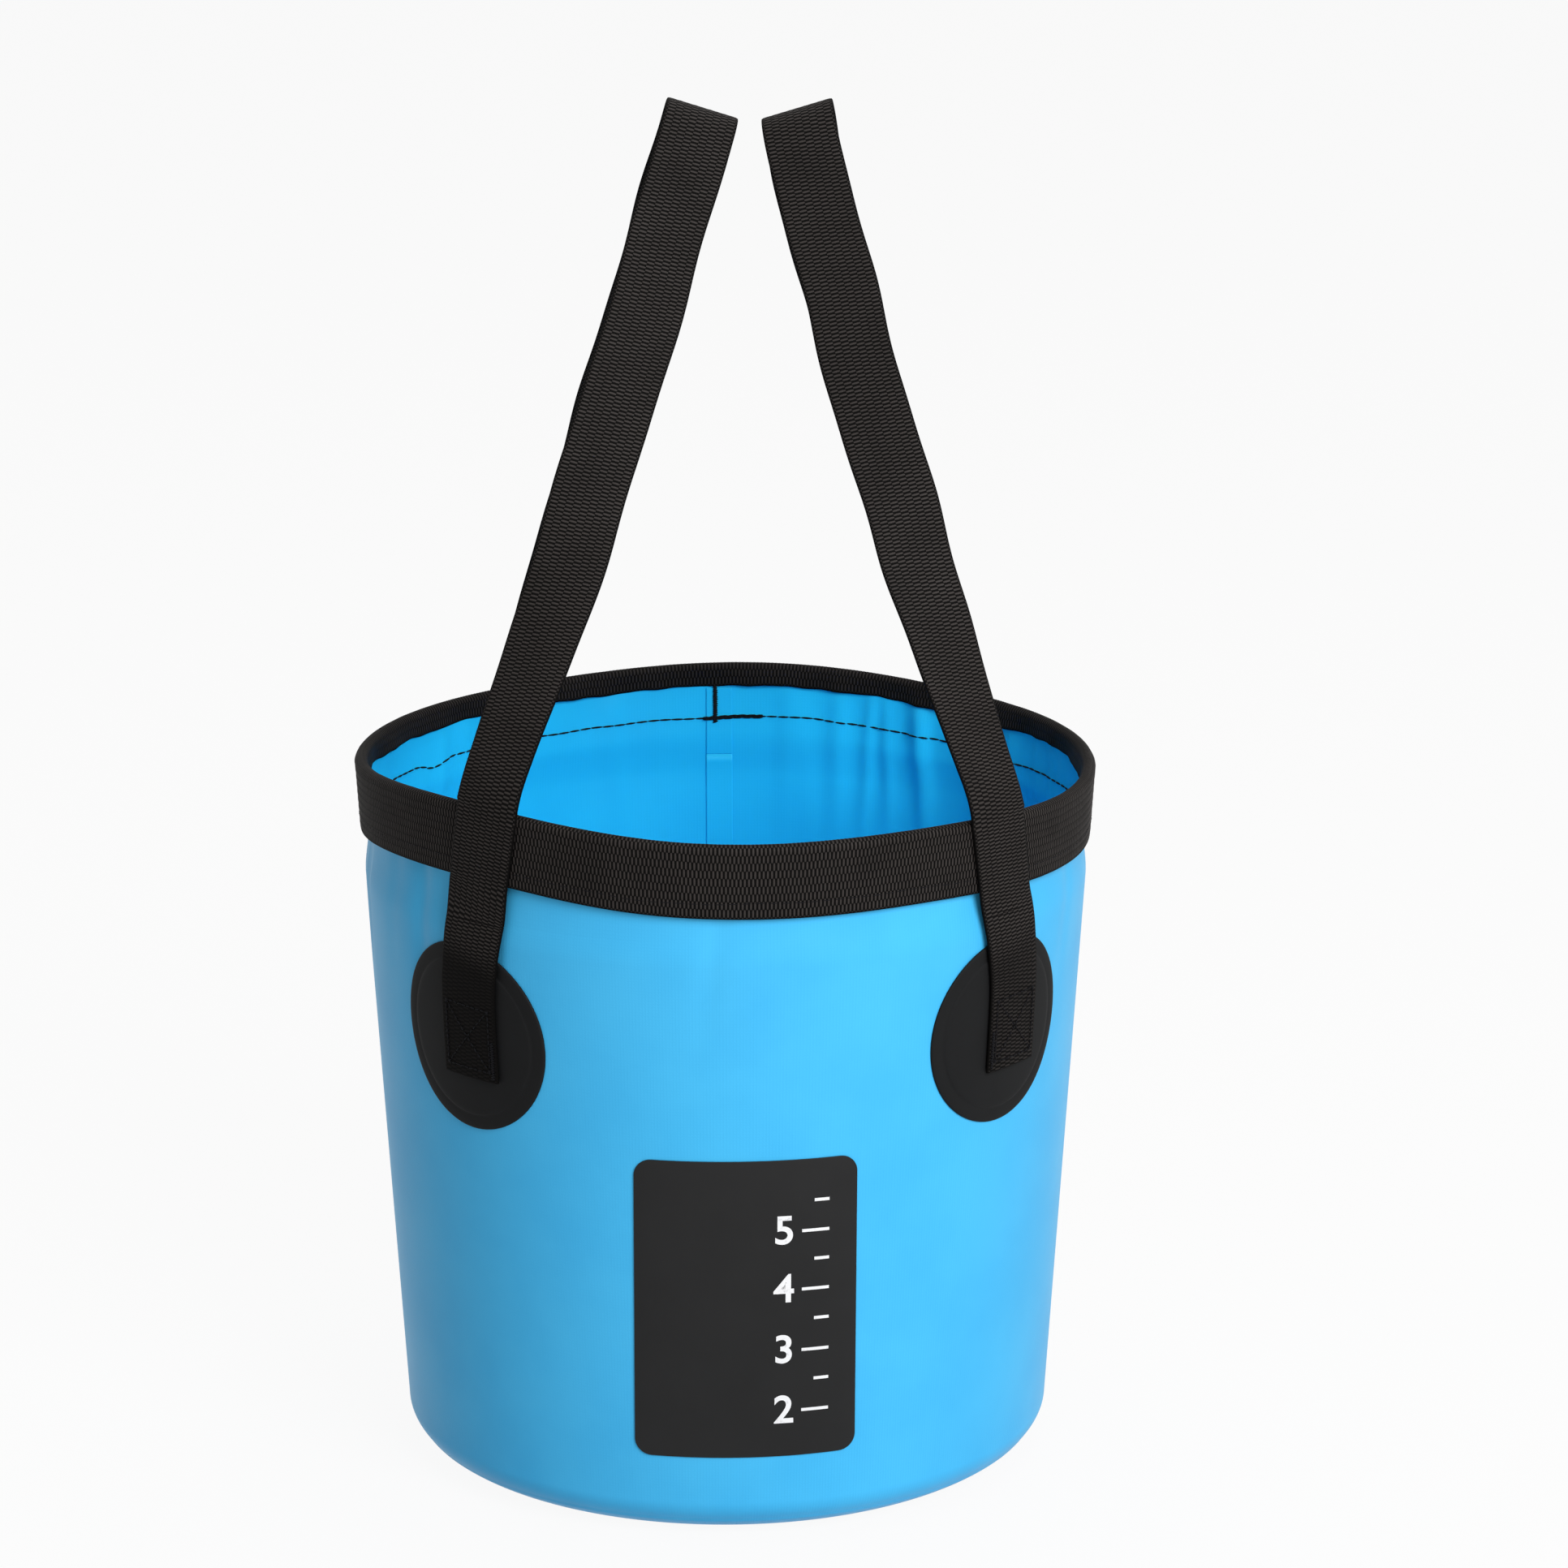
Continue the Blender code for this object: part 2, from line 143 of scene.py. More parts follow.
class Maker:
    def __init__(self, tree):
        self.tree = tree

    def plug(self, value, socket):
        if isinstance(value, Signal):
            self.tree.links.new(value.socket, socket)
        else:
            socket.default_value = value

    def node(self, kind, settings=(), values=(), out=0):
        made = self.tree.nodes.new(kind)
        for name, value in dict(settings).items():
            setattr(made, name, value)
        for key, value in dict(values).items():
            self.plug(value, made.inputs[key])
        return Signal(self, made.outputs[out])

    def math(self, operation, *parts):
        return self.node("ShaderNodeMath", {"operation": operation}, enumerate(parts))

    def scaled(self, vector, factor):
        settings = {"operation": "SCALE"}
        return self.node("ShaderNodeVectorMath", settings, {0: vector, "Scale": factor})

    def split(self, vector):
        x = self.node("ShaderNodeSeparateXYZ", (), {0: vector})
        return x, x.also("Y"), x.also("Z")

    def joined(self, x, y, z):
        return self.node("ShaderNodeCombineXYZ", (), {0: x, 1: y, 2: z})

    def noise(self, vector, scale, detail=2.0, roughness=0.5):
        values = {"Vector": vector, "Scale": scale, "Detail": detail, "Roughness": roughness}
        return self.node("ShaderNodeTexNoise", {"noise_dimensions": "3D"}, values)

    def between(self, value, low, high):  # 0 below low, 1 above high
        settings = {"interpolation_type": "SMOOTHSTEP"}
        values = {"Value": value, "From Min": low, "From Max": high}
        return self.node("ShaderNodeMapRange", settings, values)

    def tint(self, factor, first, second):
        values = {0: factor, 6: rgba(first), 7: rgba(second)}
        return self.node("ShaderNodeMix", {"data_type": "RGBA"}, values, 2)

    def bump(self, height, distance, strength=1.0, normal=None):
        values = {"Height": height, "Distance": distance, "Strength": strength}
        if normal:
            values["Normal"] = normal
        return self.node("ShaderNodeBump", (), values)

    def attribute(self, name, kind="FLOAT"):  # in Geometry Nodes
        return self.node("GeometryNodeInputNamedAttribute", {"data_type": kind}, {"Name": name})

    def surfaceValue(self, name):  # the same in a shader
        return self.node("ShaderNodeAttribute", {"attribute_name": name}, (), "Fac")

    def mapPlace(self):
        return self.node("ShaderNodeUVMap", {"uv_map": "UVMap"})

    def objectPlace(self):
        return self.node("ShaderNodeTexCoord", out="Object")


def rgba(colour):
    return colour if isinstance(colour, Signal) else (*colour, 1.0)


def newFinish(name, shine=0.5):  # a maker for the material's nodes, and what ends them
    material = bpy.data.materials.new(name)
    material.use_nodes = True
    maker = Maker(material.node_tree)
    inputs = material.node_tree.nodes["Principled BSDF"].inputs
    inputs["Specular IOR Level"].default_value = shine

    def finish(colour, roughness, normal=None):
        maker.plug(colour, inputs["Base Color"])
        maker.plug(roughness, inputs["Roughness"])
        if normal:
            maker.plug(normal, inputs["Normal"])
        return material

    return maker, finish


# Finishes
tarpLook = {
    # The outside blues are the own colour with the red raised as a painted veil of reflection; the inside
    # blues are brighter as painted light inside the bucket
    "blue": (0.063, 0.490, 0.865), "deepBlue": (0.046, 0.425, 0.805),
    "insidePaintedLightBlue": (0.016, 0.560, 0.950), "insidePaintedLightDeep": (0.012, 0.490, 0.900),
    "scrimPitch": 0.0011, "scrimRelief": 0.000012, "softRelief": 0.00088, "roughness": 0.40, "shine": 0.15,
    "patches": (26.0, 3.0), "clouds": (9.0, 1.0), "specks": (900.0, 2.0),  # noise: scale, detail
}
webLook = {
    # The yarn's crowns take the lit colour and the gaps between yarns take the shade colour: painted
    # highlight and painted shade
    "litYarn": (0.040, 0.035, 0.033), "shade": (0.0016, 0.0014, 0.0013), "shine": 0.06,
    "pitch": 0.0014, "column": 0.00263, "selvage": 0.0009, "relief": 0.00014, "fibreRelief": 0.00003,
    "valley": 0.50, "sharpness": 1.5, "crown": 0.6, "fibres": (5200.0, 700.0), "blotches": (60.0, 2.0),
}
rubberLook = {"black": (0.0125, 0.0128, 0.0134), "grain": 0.000015, "roughness": 0.58, "shine": 0.06}
vinylLook = {"black": (0.0150, 0.0150, 0.0155), "grain": 0.000010, "roughness": 0.46, "shine": 0.16}
threadLook = {
    "black": (0.0028, 0.0028, 0.0036), "twist": 0.0009, "relief": 0.00005, "shine": 0.08, "uneven": 0.12,
}
inkLook = {"white": (0.83, 0.83, 0.84), "worn": (0.62, 0.62, 0.64)}
stripLook = {"white": (0.66, 0.66, 0.64), "pale": (0.74, 0.74, 0.72)}


def makeTarp():
    maker, finish = newFinish("blue_tarpaulin", tarpLook["shine"])
    place = maker.mapPlace()
    across, up, _ = maker.split(place)
    turn = math.tau / tarpLook["scrimPitch"]
    warp = maker.math("COSINE", across * turn) * 0.5 + 0.5
    weft = maker.math("COSINE", up * turn) * 0.5 + 0.5
    scrim = maker.math("MAXIMUM", warp ** 3.0, weft ** 3.0 * 0.6)
    patchy = maker.noise(place, *tarpLook["patches"])
    cloud = maker.noise(place, *tarpLook["clouds"])
    speck = maker.noise(place, *tarpLook["specks"])
    share = maker.between(patchy, 0.3, 0.72) * 0.5 + scrim * 0.16
    # The inside faces take a brighter copy of the blue as painted light, and the outside copy has its red
    # raised as a painted veil of reflection
    outside = maker.surfaceValue("outside")
    plain = maker.tint(outside, tarpLook["insidePaintedLightBlue"], tarpLook["blue"])
    deep = maker.tint(outside, tarpLook["insidePaintedLightDeep"], tarpLook["deepBlue"])
    rough = tarpLook["roughness"] - 0.05 + patchy * 0.07 + speck * 0.05 + scrim * 0.02
    soft = maker.bump(cloud, tarpLook["softRelief"])
    fine = maker.bump(scrim + speck * 0.5, tarpLook["scrimRelief"], 1.0, soft)
    return finish(maker.tint(share, plain, deep), rough, fine)


def ribHeight(maker, along, across, pitch, columnWidth, selvage):
    # Bricks of yarn: each column is half a pitch behind the one beside it
    column = (across - selvage) / columnWidth
    whole = maker.math("FLOOR", column)
    phase = along / pitch + whole % 2.0 * 0.5
    dash = (maker.math("COSINE", phase * math.tau) * 0.5 + 0.5) ** webLook["sharpness"]
    crown = maker.math("SINE", (column - whole) * math.pi)
    crown = maker.math("MAXIMUM", crown, 0.0) ** webLook["crown"]
    return dash * (webLook["valley"] + crown * (1 - webLook["valley"]))


def columnWidth(width):
    woven = width - 2 * webLook["selvage"]
    return woven / round(woven / webLook["column"])


def makeWebbing(name, width):
    maker, finish = newFinish(name, webLook["shine"])
    place = maker.mapPlace()
    along, across, _ = maker.split(place)
    rib = ribHeight(maker, along, across, webLook["pitch"], columnWidth(width), webLook["selvage"])
    fine, coarse = webLook["fibres"]
    fibre = maker.noise(maker.joined(along * fine, across * coarse, 0.0), 1.0, 3.0, 0.6)
    blotch = maker.noise(place, *webLook["blotches"])
    # Rib crowns are painted lighter as a painted highlight; gaps, unribbed edges and flattened ends are
    # painted dark as painted shade
    lit = maker.between(rib, 0.10, 0.80) * (0.55 + fibre * 0.9) * (0.6 + blotch * 0.8)
    lit = lit * maker.surfaceValue("ribbed")
    colour = maker.tint(lit, webLook["shade"], webLook["litYarn"])
    return finish(colour, 0.80 - lit * 0.25, maker.bump(fibre, webLook["fibreRelief"]))


def makeMoulded(name, look):
    maker, finish = newFinish(name, look["shine"])
    place = maker.objectPlace()
    grain = maker.noise(place, 1500.0, 2.0, 0.6)
    blotch = maker.noise(place, 55.0, 3.0)
    dark = tuple(part * 0.72 for part in look["black"])
    rough = look["roughness"] - 0.08 + blotch * 0.12 + grain * 0.05
    return finish(maker.tint(blotch, dark, look["black"]), rough, maker.bump(grain, look["grain"]))


def makeThread():
    maker, finish = newFinish("black_thread", threadLook["shine"])
    x, y, z = maker.split(maker.objectPlace())
    twist = maker.math("SINE", (x + y + z * 1.7) * (math.tau / threadLook["twist"])) * 0.5 + 0.5
    pale = tuple(part * 2.4 for part in threadLook["black"])
    colour = maker.tint(twist, threadLook["black"], pale)
    return finish(colour, 0.55 + twist * 0.15, maker.bump(twist, threadLook["relief"]))


def makeInk():
    maker, finish = newFinish("white_print")
    worn = maker.between(maker.noise(maker.objectPlace(), 420.0, 4.0, 0.65), 0.56, 0.74)
    return finish(maker.tint(worn, inkLook["white"], inkLook["worn"]), 0.42 + worn * 0.2)


def makeStripPlastic():
    maker, finish = newFinish("white_strip_plastic")
    streak = maker.noise(maker.objectPlace(), 140.0, 3.0)
    return finish(maker.tint(streak, stripLook["white"], stripLook["pale"]), 0.45 + streak * 0.1)


tarp = makeTarp()
strapWebbing = makeWebbing("black_strap_webbing", bucket["strapWidth"])
bandWebbing = makeWebbing("black_band_webbing", bucket["bandWidth"])
patchRubber = makeMoulded("black_patch_rubber", rubberLook)
panelVinyl = makeMoulded("black_panel_vinyl", vinylLook)
thread = makeThread()
ink = makeInk()
stripPlastic = makeStripPlastic()
print("finishes made")


# Geometry Nodes helpers
def newTree(name, inputs):  # inputs as {label: kind}
    tree = bpy.data.node_groups.new(name, "GeometryNodeTree")
    for label, kind in {"Geometry": "Geometry", **inputs}.items():
        tree.interface.new_socket(name=label, in_out="INPUT", socket_type="NodeSocket" + kind)
    tree.interface.new_socket(name="Geometry", in_out="OUTPUT", socket_type="NodeSocketGeometry")
    maker = Maker(tree)
    entry = maker.node("NodeGroupInput")
    return maker, {socket.name: Signal(maker, socket) for socket in entry.socket.node.outputs}


def finishTree(maker, geometry, material):
    real = maker.node("GeometryNodeRealizeInstances", (), {0: geometry})
    painted = maker.node("GeometryNodeSetMaterial", (), {"Geometry": real, "Material": material})
    leave = maker.tree.nodes.new("NodeGroupOutput")
    maker.plug(painted, leave.inputs[0])
    return maker.tree


def plainMesh(obj):
    bpy.context.view_layer.update()
    graph = bpy.context.evaluated_depsgraph_get()
    return bpy.data.meshes.new_from_object(obj.evaluated_get(graph))


def runTree(obj, tree, values):  # ends as one plain mesh, without the modifier
    modifier = obj.modifiers.new(tree.name, "NODES")
    modifier.node_group = tree
    sockets = {item.name: item.identifier for item in tree.interface.items_tree if item.in_out == "INPUT"}
    for label, value in values.items():
        modifier[sockets[label]] = value
    mesh = plainMesh(obj)
    obj.modifiers.clear()
    old = obj.data
    obj.data = mesh
    bpy.data.meshes.remove(old)
    mesh.name = obj.name
    return obj


# Mesh helpers
def addObject(name, data, material=None):
    obj = bpy.data.objects.new(name, data)
    bpy.context.scene.collection.objects.link(obj)
    if material:
        data.materials.clear()
        data.materials.append(material)
    return obj


def setUv(mesh, pointUv):
    # A UV map from one pair of numbers for each point, in metres along the surface
    layer = mesh.uv_layers.get("UVMap") or mesh.uv_layers.new(name="UVMap")
    corner = np.zeros(len(mesh.loops), np.int32)
    mesh.loops.foreach_get("vertex_index", corner)
    layer.data.foreach_set("uv", np.asarray(pointUv, np.float32)[corner].ravel())


def closeUv(mesh, count, end):
    # The last faces of a closed loft join its start, so there the UV goes on to its end
    layer = mesh.uv_layers["UVMap"].data
    for face in mesh.polygons[-count:]:
        place = max(layer[loop].uv.x for loop in face.loop_indices)
        for loop in face.loop_indices:
            if layer[loop].uv.x < place - end / 2:
                layer[loop].uv.x = end


def loftMesh(name, rings, loftIsClosed=False):
    # Quads between closed rings of points; open ends get a cap each
    rings = np.asarray(rings, float)
    count, size = rings.shape[:2]
    index = np.arange(count * size).reshape(count, size)
    nextRing = np.roll(index, -1, 0) if loftIsClosed else index[1:]
    thisRing = index if loftIsClosed else index[:-1]
    corners = thisRing, np.roll(thisRing, -1, 1), np.roll(nextRing, -1, 1), nextRing
    faces = np.stack(corners, -1).reshape(-1, 4).tolist()
    if not loftIsClosed:
        faces += [index[0][::-1].tolist(), index[-1].tolist()]
    mesh = bpy.data.meshes.new(name)
    mesh.from_pydata(rings.reshape(-1, 3).tolist(), [], faces)
    mesh.shade_smooth()
    return mesh


def bmeshOf(mesh):
    bm = bmesh.new()
    bm.from_mesh(mesh)
    return bm


def faceOutwards(mesh):
    bm = bmeshOf(mesh)
    bmesh.ops.recalc_face_normals(bm, faces=bm.faces[:])
    bm.to_mesh(mesh)
    bm.free()
    mesh.update()


def pointValues(mesh, label, values):
    layer = mesh.attributes.new(label, "FLOAT", "POINT")
    layer.data.foreach_set("value", np.asarray(values, np.float32).ravel())


def layOnWall(bm, angle, centreHeight, standOff):
    # Wraps a flat piece round the wall: X goes round, Y goes up and Z stands out
    for vert in bm.verts:
        height = centreHeight + vert.co.y
        around = angle + vert.co.x / wallRadius(height)
        vert.co = wallPoint(around, height, standOff + vert.co.z)


def cutUpright(bm, halfWidth, pitch):
    count = max(1, round(2 * halfWidth / pitch))
    for index in range(1, count):
        place = halfWidth * (2 * index / count - 1)
        everything = bm.verts[:] + bm.edges[:] + bm.faces[:]
        bmesh.ops.bisect_plane(bm, geom=everything, plane_co=(place, 0, 0), plane_no=(1, 0, 0))


def flatUv(bm):
    layer = bm.loops.layers.uv.new("UVMap")
    for face in bm.faces:
        for loop in face.loops:
            loop[layer].uv = loop.vert.co.xy


def meshFrom(bm, name, sharpness=None):
    mesh = bpy.data.meshes.new(name)
    bm.to_mesh(mesh)
    bm.free()
    mesh.shade_smooth()
    if sharpness:
        mesh.set_sharp_from_angle(angle=math.radians(sharpness))
    return mesh


def onBase(piece, slot, *replaced):  # soft pieces on the wall go with the base
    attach(piece, "base")
    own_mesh(piece)
    if replaced:
        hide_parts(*replaced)


# The rim isn't level: it is drawn up by the front left strap and sinks a little at the sides
sway = {
    "level": -0.0004,
    "waves": [
        (1, 2.432, 0.00248), (2, 2.659, 0.00165), (3, -1.610, 0.00121), (4, -1.100, 0.00047),
        (5, -0.835, 0.00074),
    ],
    "footRun": 0.009, "headFrom": 0.262, "headRun": 0.060,
}


def swayAt(points):  # full from the band's foot up to just above the rim, nothing below the hem
    angle = np.arctan2(points[:, 0], -points[:, 1])
    rise = sway["level"] + sum(size * np.sin(count * angle + shift) for count, shift, size in sway["waves"])
    foot = smoothAll((points[:, 2] - cutHeight) / sway["footRun"])
    return rise * foot * smoothAll((sway["headFrom"] + sway["headRun"] - points[:, 2]) / sway["headRun"])


def swayRim(mesh):
    points = np.zeros(len(mesh.vertices) * 3, np.float32)
    mesh.vertices.foreach_get("co", points)
    points = points.reshape(-1, 3)
    points[:, 2] += swayAt(points)
    mesh.vertices.foreach_set("co", points.ravel())
    mesh.update()


def onRim(piece, slot, *replaced):
    swayRim(piece.data)
    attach(piece, "rim")
    if replaced:
        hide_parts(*replaced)


# Wall: a flared tube of coated fabric whose foot turns in under a rounded corner. It is made in two
# pieces that meet just below the band: the hem rides on the rim and the rest stays with the base
wall = {
    "cornerHeight": 0.015, "cornerReach": 0.024, "lap": 0.012, "tuckRun": 0.018, "tuck": -0.0023,
    "weldHeight": 0.0072, "weldProud": 0.00032, "weldRun": 0.0007, "weldFade": 0.003, "around": 540,
    "puckers": 26, "puckerSeed": 12, "puckerDepth": 0.0006, "puckerWidth": 0.038, "seamClear": 0.20,
    "puckerFoot": 0.170, "puckerFull": 0.214, "puckerEbb": 0.238, "puckerTop": 0.2535,
    "deepPuckers": [  # degrees from the back towards +X, width, depth
        (12.5, 0.030, 0.0005), (21.5, 0.032, 0.0010), (27.0, 0.020, 0.0010), (31.0, 0.020, 0.0007),
        (38.0, 0.034, 0.0024), (50.0, 0.050, 0.0014), (-17.0, 0.040, 0.0008), (-47.0, 0.045, 0.0012),
    ],
}
flatRadius = wallRadius(wall["cornerHeight"]) - wall["cornerReach"]
cutHeight = bucket["bandFoot"] - wall["tuckRun"] / 2


def wallProfile():
    top = bucket["rimHeight"] - bucket["webbing"] - bucket["gap"]
    foot, turnedIn, corner = bucket["bandFoot"], bucket["bandFoot"] - wall["tuckRun"], wall["cornerHeight"]
    points = [(wallRadius(height) + wall["tuck"], height) for height in np.linspace(top, foot, 13)[:-1]]
    for share in np.linspace(0, 1, 13)[:-1]:
        height = foot - share * wall["tuckRun"]
        points.append((wallRadius(height) + wall["tuck"] * (1 - smooth(share)), height))
    points += [(wallRadius(height), height) for height in np.linspace(turnedIn, corner, 36)[:-1]]
    for bend in np.linspace(0, math.pi / 2, 36):
        height = corner * (1 - math.sin(bend))
        step = smooth((wall["weldHeight"] - height) / wall["weldRun"]) * smooth(height / wall["weldFade"])
        lift = wall["weldProud"] * step
        radius = flatRadius + wall["cornerReach"] * math.cos(bend) + lift * math.cos(bend)
        points.append((radius, max(height - lift * math.sin(bend), 0.0)))
    points += [(flatRadius - wall["lap"] * share, 0.0) for share in np.linspace(0, 1, 6)[1:]]
    return np.array(points)


def makePuckers():  # (angle, width, depth, slant) of each soft fold below the rim
    chance = random.Random(wall["puckerSeed"])
    folds = []
    for _ in range(wall["puckers"]):
        fromBack = chance.uniform(wall["seamClear"], math.pi)
        side = chance.choice((left, right))
        depth = wall["puckerDepth"] * chance.uniform(0.4, 1.0)
        width = wall["puckerWidth"] * chance.uniform(0.5, 1.3)
        folds.append((side * (math.pi - fromBack), width, depth, chance.uniform(-1.5, 1.5)))
    for fromBack, width, depth in wall["deepPuckers"]:
        folds.append((math.pi - math.radians(fromBack), width, depth, chance.uniform(-0.6, 0.6)))
    return folds


puckers = makePuckers()


def pucker(angle, height):  # how far the wall is drawn inwards there
    low, full, ebb, top = (wall["pucker" + key] for key in ("Foot", "Full", "Ebb", "Top"))
    mask = smooth((height - low) / (full - low)) * smooth((top - height) / (top - ebb))
    if mask == 0:
        return 0.0
    drawn = 0.0
    for place, width, depth, slant in puckers:
        away = (angle - place + slant * (height - full) + math.pi) % math.tau - math.pi
        drawn += depth * math.exp(-((away / width) ** 2))
    return drawn * mask


def polar(angle, radius, height):
    return math.sin(angle) * radius, -math.cos(angle) * radius, height


def makeWall():
    outer = wallProfile()
    run = np.gradient(outer, axis=0)
    run /= np.hypot(*run.T)[:, None]
    inner = outer + np.stack([run[:, 1], -run[:, 0]], 1) * bucket["fabric"]
    lengths = np.concatenate([[0.0], np.cumsum(np.hypot(*np.diff(outer, axis=0).T))])
    angles = [math.tau * column / wall["around"] - math.pi for column in range(wall["around"])]
    reach = wallRadius(bucket["rimHeight"] / 2)
    cut = int(np.argmin(abs(outer[:, 1] - cutHeight)))
    inner[cut, 1] = outer[cut, 1]
    for name, rows in (("wall_hem", slice(0, cut + 1)), ("bucket_wall", slice(cut, len(outer)))):
        section = np.concatenate([outer[rows], inner[rows][::-1]])
        sectionRun = np.concatenate([lengths[rows], lengths[rows][::-1]])
        rings = [
            [polar(angle, radius - pucker(angle, height), height) for radius, height in section]
            for angle in angles
        ]
        mesh = loftMesh(name, rings, loftIsClosed=True)
        setUv(mesh, [(angle * reach, place) for angle in angles for place in sectionRun])
        pointValues(mesh, "outside", np.tile(np.arange(len(section)) < len(section) / 2, len(angles)))
        closeUv(mesh, len(section), math.pi * reach)
        faceOutwards(mesh)
        mesh.set_sharp_from_angle(angle=math.radians(60))
        piece = addObject(name, mesh, tarp)
        if name == "wall_hem":
            onRim(piece, "blue_coated_fabric")
        else:
            onBase(piece, "blue_coated_fabric", "wall")


makeWall()
print("wall made")


# Base disc, welded on the wall's lap
disc = {
    "hole": 0.006, "weldInside": 0.0835, "weldOutside": 0.0895, "weldRise": 0.00018, "weldEdge": 0.0008,
    "clear": 0.0004, "thickness": 0.0006, "flatRim": 0.001, "calmRun": 0.02,
    "waveHeight": 0.0005, "waveLevel": 0.8, "waveTurn": 90, "waves": [(3, 0.7, 0.5), (5, 2.1, 0.3)],
}


def makeBaseDisc():
    low = bucket["fabric"] + bucket["gap"]
    start, end, edge = disc["weldInside"], disc["weldOutside"], disc["weldEdge"]
    radii = [*np.linspace(disc["hole"], start - disc["flatRim"], 18), start, start + edge, end - edge, end]
    radii.append(flatRadius - disc["clear"])
    rings = []
    for radius in radii:
        ring = []
        for angle in np.linspace(0, math.tau, 121)[:-1]:
            wave = ripple(angle, disc["waves"]) * math.sin(radius * disc["waveTurn"]) + disc["waveLevel"]
            rise = disc["waveHeight"] * wave * smooth((start - radius) / disc["calmRun"])
            height = low + disc["thickness"] + max(rise, 0.0) + disc["weldRise"] * (start < radius < end)
            ring.append(outward(angle) * radius + Vector((0, 0, height)))
        rings.append(ring)
    rings += [[Vector((p.x, p.y, low)) for p in ring] for ring in (rings[-1], rings[0])]
    mesh = loftMesh("base_panel", [[tuple(p) for p in ring] for ring in rings])
    setUv(mesh, [vert.co.xy for vert in mesh.vertices])
    piece = addObject("base_panel", mesh, tarp)
    faceOutwards(mesh)
    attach(piece, "base")
    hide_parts("base_disc")


makeBaseDisc()

# Seam at the back: the sheet's outer end, with a weld line each side, and its inner end
seam = {
    "width": 0.018, "foot": 0.019, "head": 0.210, "edge": 0.0004, "fade": 0.008,
    "standOff": bucket["gap"] * 0.2,
    "welds": [(-0.333, 0.00012), (0.333, 0.00012)],  # (share across, rise)
    "insideWidth": 0.010, "insideX": 0.0025, "insideHead": 0.2445, "insideThick": 0.0004,
    "insideClear": 0.00005,
}


def tuckedIn(angle, height):  # how the wall's face stands inside its straight line, below zero
    untucked = smooth((bucket["bandFoot"] - height) / wall["tuckRun"])
    return wall["tuck"] * (1 - untucked) - pucker(angle, height)


def wallStrip(name, angle, width, foot, head, standOff, thickness, ridges, tuckIn=False):
    # A strip up the wall; ridges are (share across, rise)
    edges = [side * (0.5 - seam["edge"] / width) for side in (left, right)]
    shares = sorted({*np.linspace(-0.5, 0.5, 13), *edges})
    rings, places = [], []
    for height in np.linspace(foot, head, 60):
        face = standOff + (tuckedIn(angle, height) if tuckIn else 0.0)
        outer, inner = [], []
        fade = 0.1 + 0.9 * smooth((height - seam["foot"]) / seam["fade"])
        for share in shares:
            around = angle + share * width / wallRadius(height)
            edge = fade * (1 - smooth((abs(share) * 2 - 0.92) / 0.08) * 0.75)
            rise = sum(r for place, r in ridges if abs(share - place) < 0.06)
            outer.append(wallPoint(around, height, face + thickness * edge + rise))
            inner.append(wallPoint(around, height, face))
        rings.append([tuple(p) for p in outer + inner[::-1]])
        places += [(share * width, height) for share in shares + shares[::-1]]
    mesh = loftMesh(name, rings)
    setUv(mesh, places)
    faceOutwards(mesh)
    return addObject(name, mesh, tarp)


def makeSeam():
    outer = wallStrip(
        "back_seam_lap", math.pi, seam["width"], seam["foot"], seam["head"], seam["standOff"],
        bucket["fabric"], seam["welds"],
    )
    pointValues(outer.data, "outside", np.ones(len(outer.data.vertices)))
    onBase(outer, "blue_coated_fabric", "back_seam_strip")
    angle = math.pi - seam["insideX"] / wallRadius(cutHeight)
    thick = seam["insideThick"]
    for name, foot, head, carry in (
        ("inside_seam_lap", seam["foot"], cutHeight, onBase),
        ("hem_seam_lap", cutHeight, seam["insideHead"], onRim),
    ):
        face = -bucket["fabric"] - thick - seam["insideClear"]
        lap = wallStrip(name, angle, seam["insideWidth"], foot, head, face, thick, [], tuckIn=True)
        carry(lap, "blue_coated_fabric")


makeSeam()
print("base and seam made")


# Webbing: closed tubes with a flat section, and ribs of yarn raised by Geometry Nodes
def makeRibTree():
    numbers = dict.fromkeys(("Pitch", "Column Width", "Selvage", "Relief"), "Float")
    maker, given = newTree("webbing_ribs", {**numbers, "Webbing": "Material"})
    along, across = maker.attribute("along"), maker.attribute("across")
    height = ribHeight(maker, along, across, given["Pitch"], given["Column Width"], given["Selvage"])
    lift = height * maker.attribute("ribbed") * given["Relief"]
    offset = maker.scaled(maker.node("GeometryNodeInputNormal"), lift)
    values = {"Geometry": given["Geometry"], "Offset": offset}
    return finishTree(maker, maker.node("GeometryNodeSetPosition", (), values), given["Webbing"])


ribTree = makeRibTree()


def ribbedPiece(name, mesh, along, across, ribbed, width, material):
    for label, values in (("along", along), ("across", across), ("ribbed", ribbed)):
        pointValues(mesh, label, values)
    faceOutwards(mesh)
    values = {"Pitch": webLook["pitch"], "Column Width": columnWidth(width), "Webbing": material}
    values.update({"Selvage": webLook["selvage"], "Relief": webLook["relief"]})
    return runTree(addObject(name, mesh), ribTree, values)


def ribPlaces(width):  # places across the webbing: two for each column of yarn
    columns = round((width - 2 * webLook["selvage"]) / columnWidth(width))
    return np.linspace(webLook["selvage"], width - webLook["selvage"], 2 * columns + 1)


# Rim band: webbing folded over the mouth, wide outside and narrow inside
band = {
    "foldRound": 0.0022, "proud": 0.0002, "inside": -0.0044, "flap": 0.0085,
    "edge": 0.0003, "edgeRound": 0.0004,
    "flapRibs": 0.5,  # how much of the ribs shows on the narrow side, inside
    "flapWander": [(7, 0.3, 0.00022), (19, 1.9, 0.00016), (43, 0.8, 0.00012), (71, 2.6, 0.0001)],
    "footWander": [(4, 1.1, 0.00012), (11, 2.0, 0.00008)],
    "flapLean": [(9, 0.4, 0.00016), (23, 1.2, 0.00012)],
}


